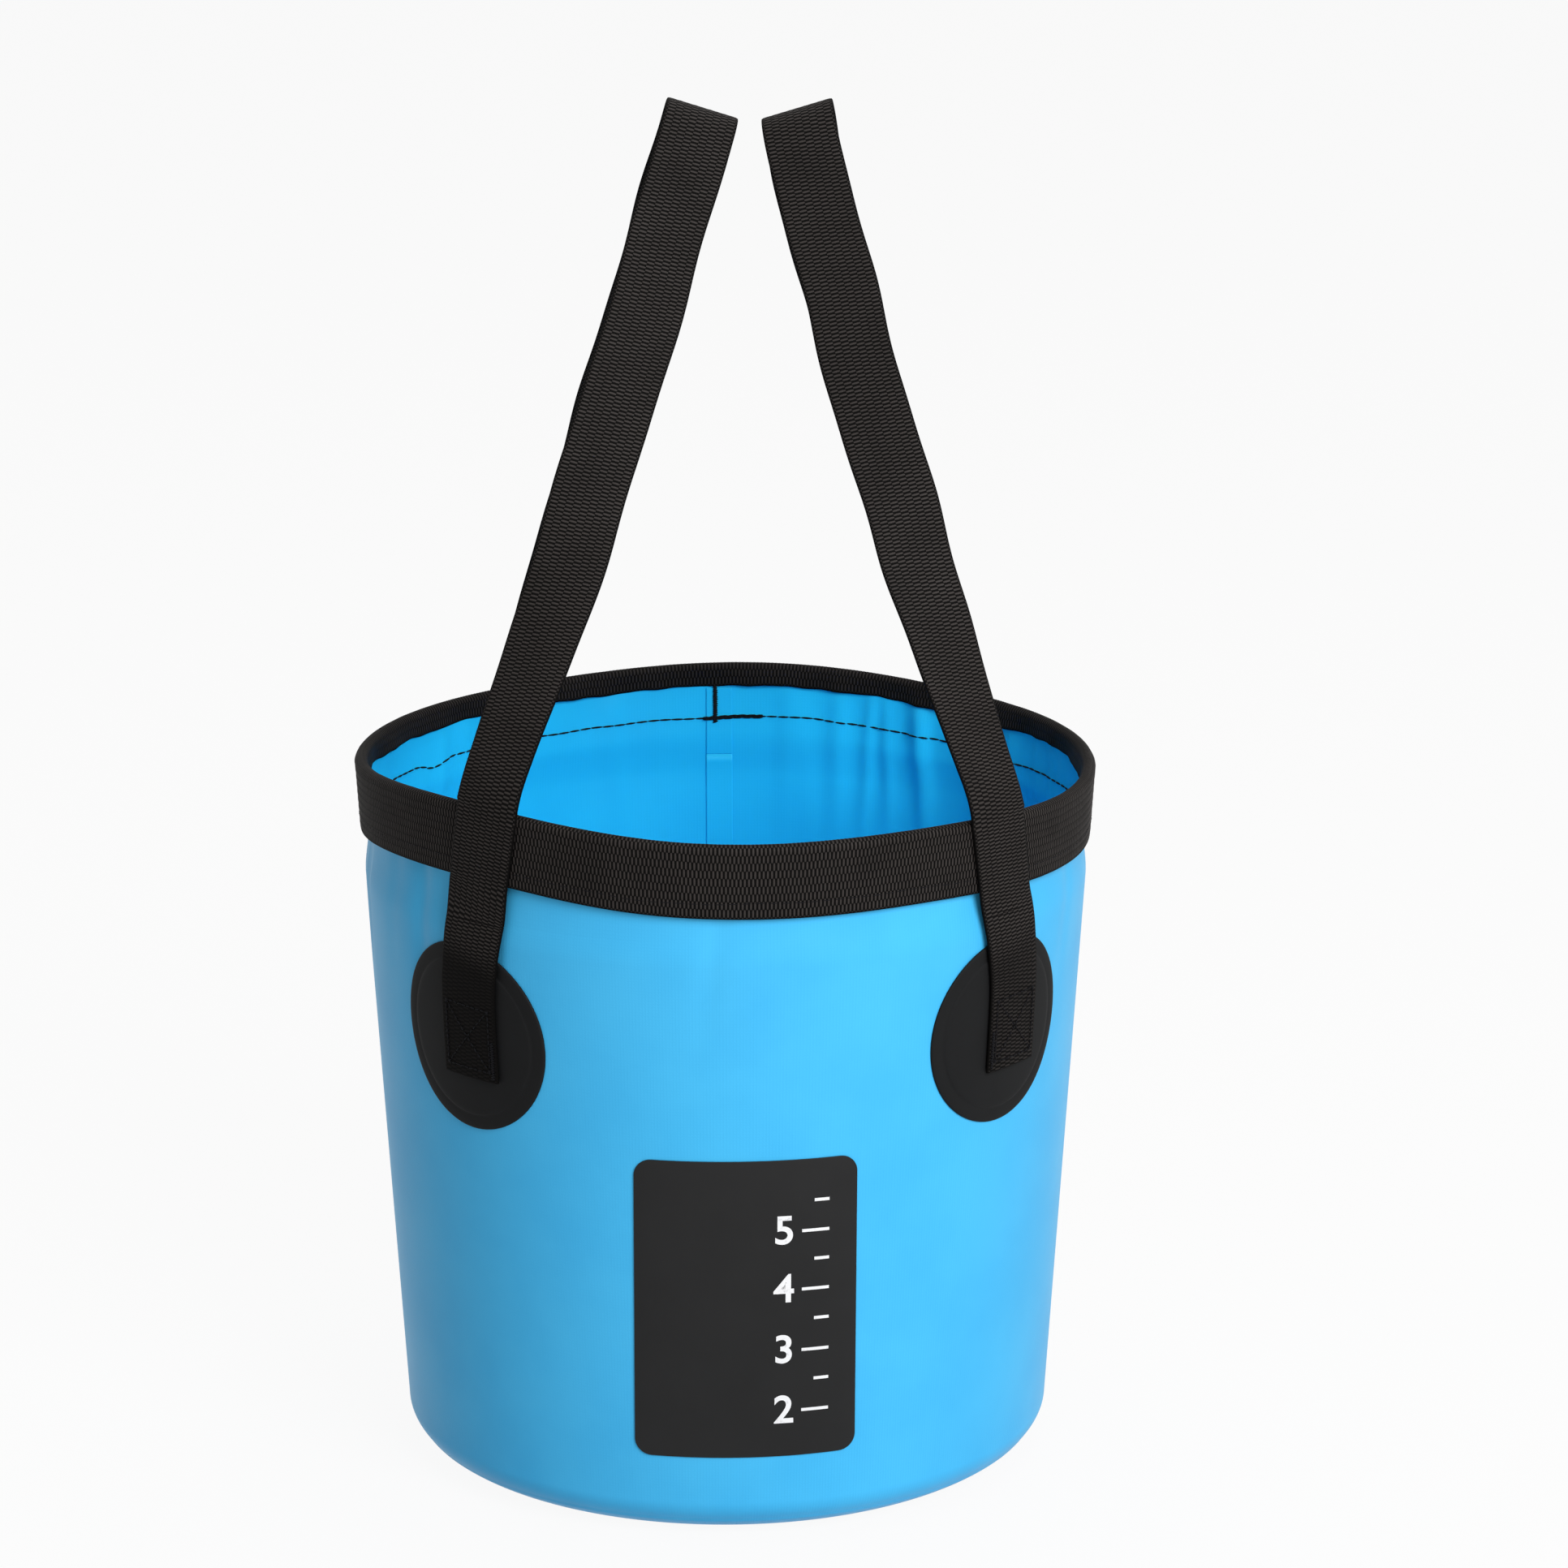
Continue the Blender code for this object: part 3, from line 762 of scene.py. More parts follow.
def bandLine(angle, wander, lean):
    # The band's outer face as (radius, height) from the flap's edge, over the fold, to the band's foot
    fold = band["foldRound"]
    top = bucket["rimHeight"]
    rimRadius = wallRadius(top)
    points = []
    for height in np.linspace(top - band["flap"] + wander, top - fold, 6)[:-1]:
        inward = lean * (top - height) / fold + pucker(angle, height)
        points.append((wallRadius(height) + band["inside"] - inward, height))
    for bend in np.linspace(0, math.pi / 2, 7):
        inward = rimRadius + band["inside"] + fold * (1 - math.cos(bend))
        points.append((inward, top - fold * (1 - math.sin(bend))))
    for bend in np.linspace(math.pi / 2, 0, 7):
        out = rimRadius + band["proud"] - fold * (1 - math.cos(bend))
        points.append((out, top - fold * (1 - math.sin(bend))))
    for height in np.linspace(top - fold, bucket["bandFoot"], 9)[1:]:
        points.append((wallRadius(height) + band["proud"], height))
    return np.array(points)


def alongLine(points, places):
    # Points at the given shares of the line's length, with the normals to its left
    steps = np.hypot(*np.diff(points, axis=0).T)
    runs = np.concatenate([[0.0], np.cumsum(steps)])
    runs /= runs[-1]
    found = np.stack([np.interp(places, runs, points[:, k]) for k in (0, 1)], 1)
    run = np.gradient(found, axis=0)
    run /= np.hypot(*run.T)[:, None]
    return found, np.stack([-run[:, 1], run[:, 0]], 1)


def makeBand():
    pitch, width = webLook["pitch"], bucket["bandWidth"]
    rows = 8 * round(math.pi * bucket["rimRadius"] / pitch)
    places = ribPlaces(width)
    edge = np.array([0.0, band["edge"]])
    outer = np.concatenate([edge, places, width - edge[::-1]])
    hidden = np.linspace(width, 0.0, 8)
    across = np.concatenate([outer, hidden])
    onFlap = np.where(places < band["flap"] + band["foldRound"], band["flapRibs"], 1.0)
    ribbed = np.concatenate([[0, 0], onFlap, [0, 0], np.zeros(len(hidden))])
    rings, uv = [], []
    for row in range(rows):
        angle = math.tau * row / rows - math.pi
        wander = ripple(angle, band["flapWander"])
        line = bandLine(angle, wander, ripple(angle, band["flapLean"]))
        line[-1, 1] += ripple(angle, band["footWander"])
        face, normal = alongLine(line, outer / width)
        face[[0, -1]] -= normal[[0, -1]] * band["edgeRound"]
        behind, inwardNormal = alongLine(line, hidden[::-1] / width)
        behind = (behind - inwardNormal * bucket["webbing"])[::-1]
        rings.append(np.stack(polar(angle, *np.concatenate([face, behind]).T), 1))
        uv += [(row / 4 * pitch, place) for place in across]
    mesh = loftMesh("rim_webbing", rings, loftIsClosed=True)
    setUv(mesh, uv)
    closeUv(mesh, len(across), rows / 4 * pitch)
    along = np.repeat(np.arange(rows) / 4 * pitch, len(across))
    across, ribbed = np.tile(across, rows), np.tile(ribbed, rows)
    piece = ribbedPiece("rim_webbing", mesh, along, across, ribbed, width, bandWebbing)
    onRim(piece, "black_webbing", "rim_band")


makeBand()
stiffener = addObject("rim_strip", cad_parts["rim_stiffener"].data.copy(), stripPlastic)
onRim(stiffener, "white_plastic", "rim_stiffener")
print("rim made")

# Straps: on each side one length of webbing runs from the front patch, over the rim, up to the
# fold at the top and down to the back patch
strap = {
    "sewnEnd": 0.162, "angle": {front: math.radians(46.7), back: math.radians(43.5)},
    "drift": {front: math.radians(1.3), back: math.radians(5.4)},
    "leanFrom": 0.195, "leanSlope": 0.22, "leanSoftness": 0.008,
    "rimRise": 0.006, "rimClearance": 0.0006, "rimDrop": 0.001, "cornerRun": 0.010,
    "twistRun": 0.140, "loopTop": 0.481, "foldRadius": 0.009, "topHalfSpacing": 0.0161,
    "topDrift": 0.0086, "bow": {left: 0.0018, right: 0.0040}, "bendRun": 0.025, "levelRun": 0.022,
    "cutClear": 0.00004, "edge": 0.00015, "edgeShare": 0.72,
    # Where the strap is sewn down its ribs flatten, and its colour darkens as painted shade, more on the
    # left end
    "pressedAndShaded": {left: 0.15, right: 0.55},  # what is left of the ribs where the strap is sewn down
    "pressedFrom": 0.213, "pressedTo": 0.200,
    "wander": {  # (wave length, shift, size)
        left: [(0.085, 0.4, 0.0004), (0.047, 1.7, 0.0002)],
        right: [(0.073, 2.1, 0.0005), (0.039, 0.2, 0.0002)],
    },
    "wanderFrom": 0.01, "wanderRun": 0.05, "slant": 0.7,
}
patch = {
    "radius": 0.0335, "angle": math.radians(46.4), "height": 0.176, "standOff": bucket["gap"] * 0.4,
    "thickness": 0.0012, "flange": 0.00085, "flangeWidth": 0.0058,
    "rings": (0.08, 0.2, 0.32, 0.44, 0.56, 0.68, 0.8, 0.9, 0.96),
    "shoulder": [(0.0, 0.00004), (0.0005, 0.00018)],  # (out, down) from the edge of the raised middle
    "step": [(0.0009, 0.0001), (0.0015, 0.0)],  # the same, down from the flange
    "brim": [(0.0022, 0.0), (0.0009, 0.0), (0.0003, 0.0001), (0.0, 0.0004)],  # (in, down) at the brim
}
onPatch = bucket["gap"] + patch["thickness"] + bucket["gap"] + bucket["webbing"] / 2
onBand = band["proud"] + bucket["gap"] + bucket["webbing"] / 2


def wallAngle(end, angle):  # from an angle that starts at the middle of the front or the back
    return angle if end == front else math.pi - angle


def faced(vector, end):  # mirrored for the back
    return Vector((vector.x, -end * vector.y, vector.z))


def strapAngle(side, end, height):
    above = height - strap["leanFrom"]
    leaned = strap["leanSlope"] * (above + math.hypot(above, strap["leanSoftness"])) / 2
    return side * (strap["angle"][end] - leaned / wallRadius(height)) + strap["drift"][end]


def stationOnWall(side, end, height, standOff):
    # On the front side: centre of the strap, the direction across it, and its cup round the wall
    probe = 0.001
    change = strapAngle(side, end, height + probe) - strapAngle(side, end, height - probe)
    slope = change * wallRadius(height) / (2 * probe)
    angle = strapAngle(side, end, height)
    wide = (aroundWall(angle) - Vector((0, 0, slope))).normalized()
    cup = 1 / wallRadius(height) / (1 + slope * slope)
    return wallPoint(angle, height, standOff), wide, cup


def rimCorner(side, end):  # where the strap leaves the rim
    height = bucket["rimHeight"] + strap["rimRise"]
    angle = strapAngle(side, end, height)
    return angle, wallPoint(angle, height, onBand + strap["rimClearance"])


def legStations(side, end):
    # The free part of a leg, on the front side, from the rim's top edge to the top of the fold
    leave = bucket["rimHeight"] - strap["rimDrop"]
    start = wallPoint(strapAngle(side, end, leave), leave, onBand)
    cornerAngle, corner = rimCorner(side, end)
    top = strap["loopTop"] - bucket["webbing"] / 2
    centreHeight = top - strap["foldRadius"]
    topX = side * strap["topHalfSpacing"] + strap["topDrift"]

    def sideways(height):
        share = (height - corner.z) / (top - corner.z)
        bow = side * strap["bow"][side] * 4 * share * (1 - share)
        return corner.x + (topX - corner.x) * share - bow

    acrossFold, upFold = corner.y, corner.z - centreHeight
    far = math.hypot(acrossFold, upFold)
    touch = (math.atan2(upFold, acrossFold) - math.acos(strap["foldRadius"] / far)) % math.tau
    touchY = strap["foldRadius"] * math.cos(touch)
    touchZ = centreHeight + strap["foldRadius"] * math.sin(touch)

    def legPoint(share):
        height = corner.z + (touchZ - corner.z) * share
        return Vector((sideways(height), corner.y + (touchY - corner.y) * share, height))

    firstShare = strap["cornerRun"] / math.hypot(touchY - corner.y, touchZ - corner.z)
    points = []
    for share in np.linspace(0, 1, 13)[1:]:
        first = start.lerp(corner, share)
        points.append(first.lerp(corner.lerp(legPoint(firstShare), share), share))
    for share in np.linspace(firstShare, 1, 61)[1:]:
        points.append(legPoint(share))
    for angle in np.linspace(touch, math.pi / 2, 15)[1:]:
        height = centreHeight + strap["foldRadius"] * math.sin(angle)
        points.append(Vector((sideways(height), strap["foldRadius"] * math.cos(angle), height)))
    rise = 2 * Vector((topX, 0, top)) - rimCorner(side, front)[1] - rimCorner(side, back)[1]
    level = Vector((rise.z, 0.0, -rise.x)).normalized()
    roundRim = aroundWall(cornerAngle)
    stations = []
    for index, point in enumerate(points):
        before = points[index - 1] if index else start
        pastTop = Vector((before.x, -before.y, before.z))
        after = points[index + 1] if index + 1 < len(points) else pastTop
        run = (after - before).normalized()
        share = smooth((point.z - bucket["rimHeight"]) / strap["twistRun"])
        wide = roundRim.lerp(level, share)
        wide = (wide - run * wide.dot(run)).normalized()
        stations.append((point, wide, (1 - share) / wallRadius(bucket["rimHeight"])))
    return stations


def halfStations(side, end):
    # From the sewn end to the top of the fold
    split = bucket["bandFoot"]
    leave = patch["height"] + patch["radius"]
    stations = []
    for height in np.linspace(strap["sewnEnd"], split, 34)[:-1]:
        share = smooth((height - leave) / (split - leave))
        stations.append(stationOnWall(side, end, height, onPatch + (onBand - onPatch) * share))
    for height in np.linspace(split, bucket["rimHeight"] - strap["rimDrop"], 12):
        stations.append(stationOnWall(side, end, height, onBand))
    stations += legStations(side, end)
    return [(faced(centre, end), faced(wide, end), cup) for centre, wide, cup in stations]


def splitRun(stations):  # length of strap from its sewn end to the height where the wall is cut
    length = 0.0
    for (before, _, _), (after, _, _) in zip(stations, stations[1:]):
        step = (after - before).length
        if after.z >= cutHeight:
            return length + step * (cutHeight - before.z) / (after.z - before.z)
        length += step


def smoothThrough(params, values, wanted):
    # A smooth curve through the values, read at the wanted places
    values = np.asarray(values, float)
    slope = np.gradient(values, params, axis=0)
    place = np.clip(np.searchsorted(params, wanted) - 1, 0, len(params) - 2)
    step = (params[place + 1] - params[place])[:, None]
    t = (wanted - params[place])[:, None] / step
    startShare = (1 + 2 * t) * (1 - t) ** 2
    return (
        startShare * values[place]
        + (1 - startShare) * values[place + 1]
        + step * (t * (1 - t) ** 2 * slope[place] - t * t * (1 - t) * slope[place + 1])
    )


def unit(vectors):
    return vectors / np.linalg.norm(vectors, axis=1)[:, None]


def runOf(points):  # the length of the line up to each of its points
    return np.concatenate([[0.0], np.cumsum(np.linalg.norm(np.diff(points, axis=0), axis=1))])


def makeStraps(side):
    frontHalf, backHalf = halfStations(side, front), halfStations(side, back)
    stations = frontHalf + backHalf[-2::-1]
    centres, wides = (np.array([station[k] for station in stations]) for k in (0, 1))
    cups = np.array([[station[2]] for station in stations])
    runs = runOf(centres)
    ribRuns = runOf(centres + swayAt(centres)[:, None] * np.array([0, 0, 1]))
    cuts = splitRun(frontHalf), runs[-1] - splitRun(backHalf)
    rowStep = webLook["pitch"] / 4
    sideName = sideNames[side]
    width, hair, edge = bucket["strapWidth"], strap["cutClear"], strap["edge"]
    spans = {
        "sewn_end_front": (0.0, cuts[0] - hair, "strap_end_front"),
        "carrying_loop": (cuts[0] + hair, cuts[1] - hair, "handle_strap"),
        "sewn_end_back": (cuts[1] + hair, runs[-1], "strap_end_back"),
    }
    places = ribPlaces(width)
    upper = np.concatenate([[edge], places, [width - edge]])
    across = np.concatenate([upper, [width], upper[::-1], [0.0]])
    share = strap["edgeShare"]
    upperRise = np.concatenate([[share], np.ones(len(places)), [share]]) * bucket["webbing"] / 2
    rise = np.concatenate([upperRise, [0.0], -upperRise, [0.0]])
    ribbed = np.concatenate([[0], np.ones(len(places)), [0, 0, 0], np.ones(len(places)), [0, 0]])

    def runAt(along):
        step = rowStep / 2
        return smoothThrough(runs, centres, along + step) - smoothThrough(runs, centres, along - step)

    def levelled(along):  # the rows of the webbing turn level where the strap is cut
        moved = np.zeros_like(along)
        for cut in cuts:
            place = np.array([cut])
            lean = -smoothThrough(runs, wides, place)[0, 2] * rowStep / runAt(place)[0, 2]
            moved += lean * smoothAll(1 - abs(along - cut) / strap["levelRun"])
        return along[:, None] + moved[:, None] * (across - width / 2)[None, :]

    def rowPlaces(start, end):  # twice as many rows where they are levelled
        rows = np.linspace(start, end, round((end - start) / rowStep) + 1)
        between = (rows[1:] + rows[:-1]) / 2
        near = np.min([abs(between - cut) for cut in cuts], axis=0) < strap["levelRun"]
        return np.sort(np.concatenate([rows, between[near]]))

    for spanName, (start, end, node) in spans.items():
        along = levelled(rowPlaces(start, end))
        shape = along.shape
        along = along.ravel()
        centre = smoothThrough(runs, centres, along)
        wide = unit(smoothThrough(runs, wides, along))
        cup = smoothThrough(runs, cups, along)
        out = unit(np.cross(wide, runAt(along)))
        above = centre[:, 2:] - bucket["rimHeight"] - strap["wanderFrom"]
        free = np.clip(above / strap["wanderRun"], 0, 1)
        for wave, shift, size in strap["wander"][side]:
            turn = along[:, None] / wave * math.tau + shift
            centre = centre + free * size * (wide * np.sin(turn) + out * np.cos(turn * strap["slant"]))
        acrossAll = np.tile(across, shape[0])
        place = (acrossAll - width / 2)[:, None]
        lift = np.tile(rise, shape[0])[:, None] - place**2 * cup / 2
        points = centre + wide * place + out * lift
        rows = points.reshape(*shape, 3)
        for row, edgeRun in ((0, start), (-1, end)):
            if 0 < edgeRun < runs[-1]:
                rows[row, :, 2] = cutHeight + (hair if spanName == "carrying_loop" else -hair)
        name = f"{spanName}_{sideName}"
        # Towards the sewn ends the ribs flatten and the colour darkens as painted shade, deeper on the left
        down = strap["pressedFrom"] - centre[:, 2]
        down = smoothAll(down / (strap["pressedFrom"] - strap["pressedTo"]))
        ribs = np.tile(ribbed, shape[0]) * (1 - (1 - strap["pressedAndShaded"][side]) * down)
        ribs.reshape(shape)[[0, -1]] = 0
        mesh = loftMesh(name, rows)
        ribAlong = np.interp(along, runs, ribRuns)
        setUv(mesh, np.stack([ribAlong, acrossAll], 1))
        piece = ribbedPiece(name, mesh, ribAlong, acrossAll, ribs, width, strapWebbing)
        if spanName == "carrying_loop":
            foot = Vector((side * wallRadius(bucket["bandFoot"]), 0, bucket["bandFoot"]))
            swayRim(piece.data)
            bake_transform(piece)
            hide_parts(f"{node}_{sideName}")
        else:
            onBase(piece, "black_webbing", f"{node}_{sideName}")


for strapSide in (left, right):
    makeStraps(strapSide)
print("straps made")


# Round patches under the strap ends
def makePatch(end, side):
    own = patch["angle"] if end == front else strap["angle"][back]
    drift = 0.0 if end == front else strap["drift"][back]
    angle = wallAngle(end, side * own + drift)
    radius, top, flange = patch["radius"], patch["thickness"], patch["flange"]
    inside = radius - patch["flangeWidth"]
    line = [(share * inside, top) for share in patch["rings"]]
    line += [(inside + out, top - down) for out, down in patch["shoulder"]]
    line += [(inside + out, flange - down) for out, down in patch["step"]]
    line += [(radius - away, flange - down) for away, down in patch["brim"]]
    line += [(radius, 0.0), *((inside * share, 0.0) for share in (1.0, 0.5, patch["rings"][0]))]
    turns = np.linspace(0, math.tau, 97)[:-1]
    rings = [[(reach * math.cos(t), reach * math.sin(t), rise) for t in turns] for reach, rise in line]
    name = f"{endNames[end]}_{sideNames[side]}"
    mesh = loftMesh(name, rings)
    bm = bmeshOf(mesh)
    bpy.data.meshes.remove(mesh)
    flatUv(bm)
    layOnWall(bm, angle, patch["height"], patch["standOff"])
    mesh = meshFrom(bm, "round_patch_" + name, 60)
    faceOutwards(mesh)
    onBase(addObject("round_patch_" + name, mesh, patchRubber), "black_patch", "patch_" + name)


for leg in legs:
    makePatch(*leg)
print("patches made")


# Stitching: short lengths of thread set along a path by Geometry Nodes
def makeStitchTree():
    numbers = dict.fromkeys(("Step", "Stitch Length", "Thread", "Turn", "Unevenness"), "Float")
    maker, given = newTree("stitch_row", {**numbers, "Seed": "Int", "Thread Finish": "Material"})
    path = maker.node("GeometryNodeMeshToCurve", (), {0: given["Geometry"]})
    values = {"Curve": path, "Length": given["Step"]}
    points = maker.node("GeometryNodeResampleCurve", {"mode": "LENGTH"}, values)
    stitch = maker.node("GeometryNodeMeshUVSphere", (), {"Segments": 8, "Rings": 5, "Radius": 0.5})
    rounded = maker.node("GeometryNodeSetShadeSmooth", (), {"Geometry": stitch})
    values = {"Vector": maker.node("GeometryNodeInputTangent")}
    align = "FunctionNodeAlignRotationToVector"
    first = maker.node(align, {"axis": "X", "pivot_axis": "AUTO"}, values)
    values = {"Rotation": first, "Vector": maker.attribute("lift", "FLOAT_VECTOR")}
    second = maker.node(align, {"axis": "Z", "pivot_axis": "X"}, values)
    flip = maker.node("GeometryNodeInputIndex") % 2.0 * 2.0 - 1.0
    values = {"Axis": (0.0, 0.0, 1.0), "Angle": given["Turn"] * flip}
    turn = maker.node("FunctionNodeAxisAngleToRotation", (), values)
    rotation = maker.node("FunctionNodeRotateRotation", {"rotation_space": "LOCAL"}, {0: second, 1: turn})
    values = {2: -1.0, 3: 1.0, "Seed": given["Seed"]}
    chance = maker.node("FunctionNodeRandomValue", {"data_type": "FLOAT"}, values, 1)
    longer = given["Stitch Length"] * (1.0 + chance * given["Unevenness"])
    size = maker.joined(longer, given["Thread"], given["Thread"])
    values = {"Points": points, "Instance": rounded, "Rotation": rotation, "Scale": size}
    placed = maker.node("GeometryNodeInstanceOnPoints", (), values)
    return finishTree(maker, placed, given["Thread Finish"])


stitchTree = makeStitchTree()
sewing = {  # step, length of a stitch, thickness of the thread, turn of each stitch
    "box": (0.0021, 0.0019, 0.00055, 0.10),
    "boxTack": (0.00042, 0.0020, 0.0005, 1.25),
    "inside": (0.0045, 0.0049, 0.00072, 0.0),
    "outside": (0.0045, 0.00392, 0.00030, 0.0),
    "backTack": (0.0017, 0.0030, 0.00085, 0.10),
    "seamTack": (0.00042, 0.0021, 0.0008, 1.25),
}


def stitchRow(name, lines, kind, seed):
    # Each line is a list of (point, direction off the surface)
    mesh = bpy.data.meshes.new(name)
    points, lifts, edges = [], [], []
    for line in lines:
        edges += [(len(points) + k, len(points) + k + 1) for k in range(len(line) - 1)]
        points += [tuple(point) for point, _ in line]
        lifts += [tuple(lift) for _, lift in line]
    mesh.from_pydata(points, edges, [])
    layer = mesh.attributes.new("lift", "FLOAT_VECTOR", "POINT")
    layer.data.foreach_set("vector", np.asarray(lifts, np.float32).ravel())
    values = dict(zip(("Step", "Stitch Length", "Thread", "Turn"), sewing[kind]))
    values.update({"Unevenness": threadLook["uneven"], "Seed": seed, "Thread Finish": thread})
    return runTree(addObject(name, mesh), stitchTree, values)


def joinPieces(name, pieces, material):
    bm = bmesh.new()
    for piece in pieces:
        bm.from_mesh(piece.data)
        old = piece.data
        bpy.data.objects.remove(piece)
        bpy.data.meshes.remove(old)
    return addObject(name, meshFrom(bm, name), material)


box = {
    "width": 0.020, "height": 0.0225, "margin": 0.0035, "sunk": 0.18,
    "tackOut": 0.0012, "tackFoot": -0.002, "tackHeight": 0.013,
}


def onStrapEnd(side, end, across, height):
    # A point on the face of the sewn strap end, and the direction off it
    centre, wide, cup = stationOnWall(side, end, height, onPatch)
    out = outward(strapAngle(side, end, height))
    proud = bucket["webbing"] / 2 + webLook["relief"] * 0.5 + sewing["box"][2] * box["sunk"]
    point = centre + wide * across + out * (proud - across * across * cup / 2)
    return faced(point, end), faced(out, end)


def makeBoxStitch(end, side):
    low = strap["sewnEnd"] + box["margin"]
    high = low + box["height"]
    half = box["width"] / 2
    corners = [(-half, low), (half, low), (half, high), (-half, high)]
    runs = [(corners[k], corners[(k + 1) % 4]) for k in range(4)]
    runs += [(corners[0], corners[2]), (corners[1], corners[3])]
    lines = []
    for (x0, z0), (x1, z1) in runs:
        shares = np.linspace(0.02, 0.98, 14)
        lines.append([onStrapEnd(side, end, x0 + (x1 - x0) * s, z0 + (z1 - z0) * s) for s in shares])
    name = f"{endNames[end]}_{sideNames[side]}"
    seed = 3 + 2 * end + side
    rows = stitchRow(name + "_rows", lines, "box", seed)
    inner, foot = -side * (half + box["tackOut"]), low + box["tackFoot"]
    shares = np.linspace(0, 1, 8)
    tackLine = [onStrapEnd(side, end, inner, foot + box["tackHeight"] * s) for s in shares]
    tack = stitchRow(name + "_tack", [tackLine], "boxTack", seed)
    piece = joinPieces("box_thread_" + name, [rows, tack], thread)
    onBase(piece, "black_thread", "box_stitch_" + name)


for leg in legs:
    makeBoxStitch(*leg)

rimSewing = {
    "height": 0.2335,
    "kink": (math.radians(-124), 0.05, -0.0022),  # place, width and size of the step in the sewing
    "wander": [(5, 0.5, 0.00035), (13, 1.4, 0.0002), (29, 0.2, 0.00012)],
    "lift": 0.00012, "tackLift": 0.00032, "proud": 0.00008, "lapEdge": 0.0008,
    "backTack": (-0.0024, 0.0180), "rowOffset": 0.00035,
    "tackX": 0.0010, "tackDrop": 0.0018, "tackHead": 0.2452,
}


def lapRise(angle):  # how far the lap of the seam stands off the wall's inside there
    x, y, _ = outward(angle) * wallRadius(rimSewing["height"])
    edge = rimSewing["lapEdge"]
    inLap = (seam["insideWidth"] / 2 + edge - abs(x - seam["insideX"])) / edge
    return (seam["insideThick"] + seam["insideClear"]) * smooth(inLap) if y > 0 else 0.0


def insideWall(angle, height, lift):
    # Just inside the tucked-in wall, with the direction towards the bucket's axis
    depth = tuckedIn(angle, height) - bucket["fabric"] - lift - lapRise(angle)
    return wallPoint(angle, height, depth), -outward(angle)


def sewingHeight(angle):
    place, width, size = rimSewing["kink"]
    step = size * math.exp(-(((angle - place) / width) ** 2))
    return rimSewing["height"] + ripple(angle, rimSewing["wander"]) + step


def makeRimSewing():
    height, tackLift = rimSewing["height"], rimSewing["tackLift"]
    around = np.linspace(-math.pi, math.pi, 481)
    ring = [insideWall(angle, sewingHeight(angle), rimSewing["lift"]) for angle in around]
    proud = band["proud"] + rimSewing["proud"]
    outerRing = [(wallPoint(angle, sewingHeight(angle), proud), outward(angle)) for angle in around]
    lines = []
    for side in (left, right):
        line = []
        for x in np.linspace(*rimSewing["backTack"], 16):
            angle = math.pi - x / wallRadius(height)
            level = sewingHeight(angle if angle <= math.pi else angle - math.tau)
            line.append(insideWall(angle, level + side * rimSewing["rowOffset"], tackLift))
        lines.append(line)
    pieces = [
        stitchRow("inside", [ring], "inside", 11), stitchRow("outside", [outerRing], "outside", 12),
        stitchRow("back_tack", lines, "backTack", 13),
    ]
    onRim(joinPieces("rim_stitching", pieces, thread), "black_thread", "rim_stitch")
    angle = math.pi - rimSewing["tackX"] / wallRadius(height)
    heights = np.linspace(height - rimSewing["tackDrop"], rimSewing["tackHead"], 12)
    tack = stitchRow("seam_tack", [[insideWall(angle, h, tackLift) for h in heights]], "seamTack", 14)
    onRim(tack, "black_thread", "seam_bartack")


makeRimSewing()
print("stitching made")

# Label panel, bare but for a plain scale of litres
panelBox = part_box("label_panel")
panel = {
    "width": 0.077, "offset": 0.002, "corner": 0.006, "thickness": 0.0005, "edge": 0.00016,
    "standOff": bucket["gap"] * 0.3, "cutPitch": 0.0015,
}
scale = {
    "litres": (2, 3, 4, 5), "digit": 0.01449, "weight": 0.00022, "digitGap": 0.0025,
    "tickX": 0.0285, "longTick": 0.0095, "shortTick": 0.0052, "line": 0.0011,
    "print": 0.00005, "clear": 0.00002, "cutPitch": 0.0012,
}


def roundedOutline(width, height, corner, steps):
    points = []
    for quarter in range(4):
        signX = 1 if quarter in (0, 3) else -1
        signY = 1 if quarter in (0, 1) else -1
        for step in range(steps + 1):
            angle = math.pi / 2 * (quarter + step / steps)
            x = signX * (width / 2 - corner) + corner * math.cos(angle)
            points.append((x, signY * (height / 2 - corner) + corner * math.sin(angle)))
    return points


def thicken(bm, thickness):
    made = bmesh.ops.extrude_face_region(bm, geom=bm.faces[:])
    top = [item for item in made["geom"] if isinstance(item, bmesh.types.BMVert)]
    bmesh.ops.translate(bm, verts=top, vec=(0, 0, thickness))
    bmesh.ops.recalc_face_normals(bm, faces=bm.faces[:])


panelHeight = panelBox[1].z - panelBox[0].z
panelMiddle = panelBox[0].z + panelHeight / 2
panelAngle = panel["offset"] / wallRadius(panelMiddle)


def makePanel():
    bm = bmesh.new()
    outline = roundedOutline(panel["width"], panelHeight, panel["corner"], 10)
    bm.faces.new([bm.verts.new((x, y, 0.0)) for x, y in outline])
    thicken(bm, panel["thickness"])
    rim = [edge for edge in bm.edges if all(vert.co.z > 0 for vert in edge.verts)]
    bmesh.ops.bevel(bm, geom=rim, offset=panel["edge"], segments=3, profile=0.5, affect="EDGES")
    cutUpright(bm, panel["width"] / 2, panel["cutPitch"])
    flatUv(bm)
    layOnWall(bm, panelAngle, panelMiddle, panel["standOff"])
    piece = addObject("label_plate", meshFrom(bm, "label_plate", 50), panelVinyl)
    onBase(piece, "black_panel", "label_panel")


def fillHeight(litres):  # height of that many litres above the base, from the wall's own shape
    held, height, step = 0.0, 0.0, 0.0005
    while held < litres * 0.001:
        if height < wall["cornerHeight"]:
            drop = 1 - height / wall["cornerHeight"]
            radius = flatRadius + wall["cornerReach"] * math.sqrt(max(1 - drop * drop, 0.0))
        else:
            radius = wallRadius(height)
        held += math.pi * (radius - bucket["fabric"]) ** 2 * step
        height += step
    return height


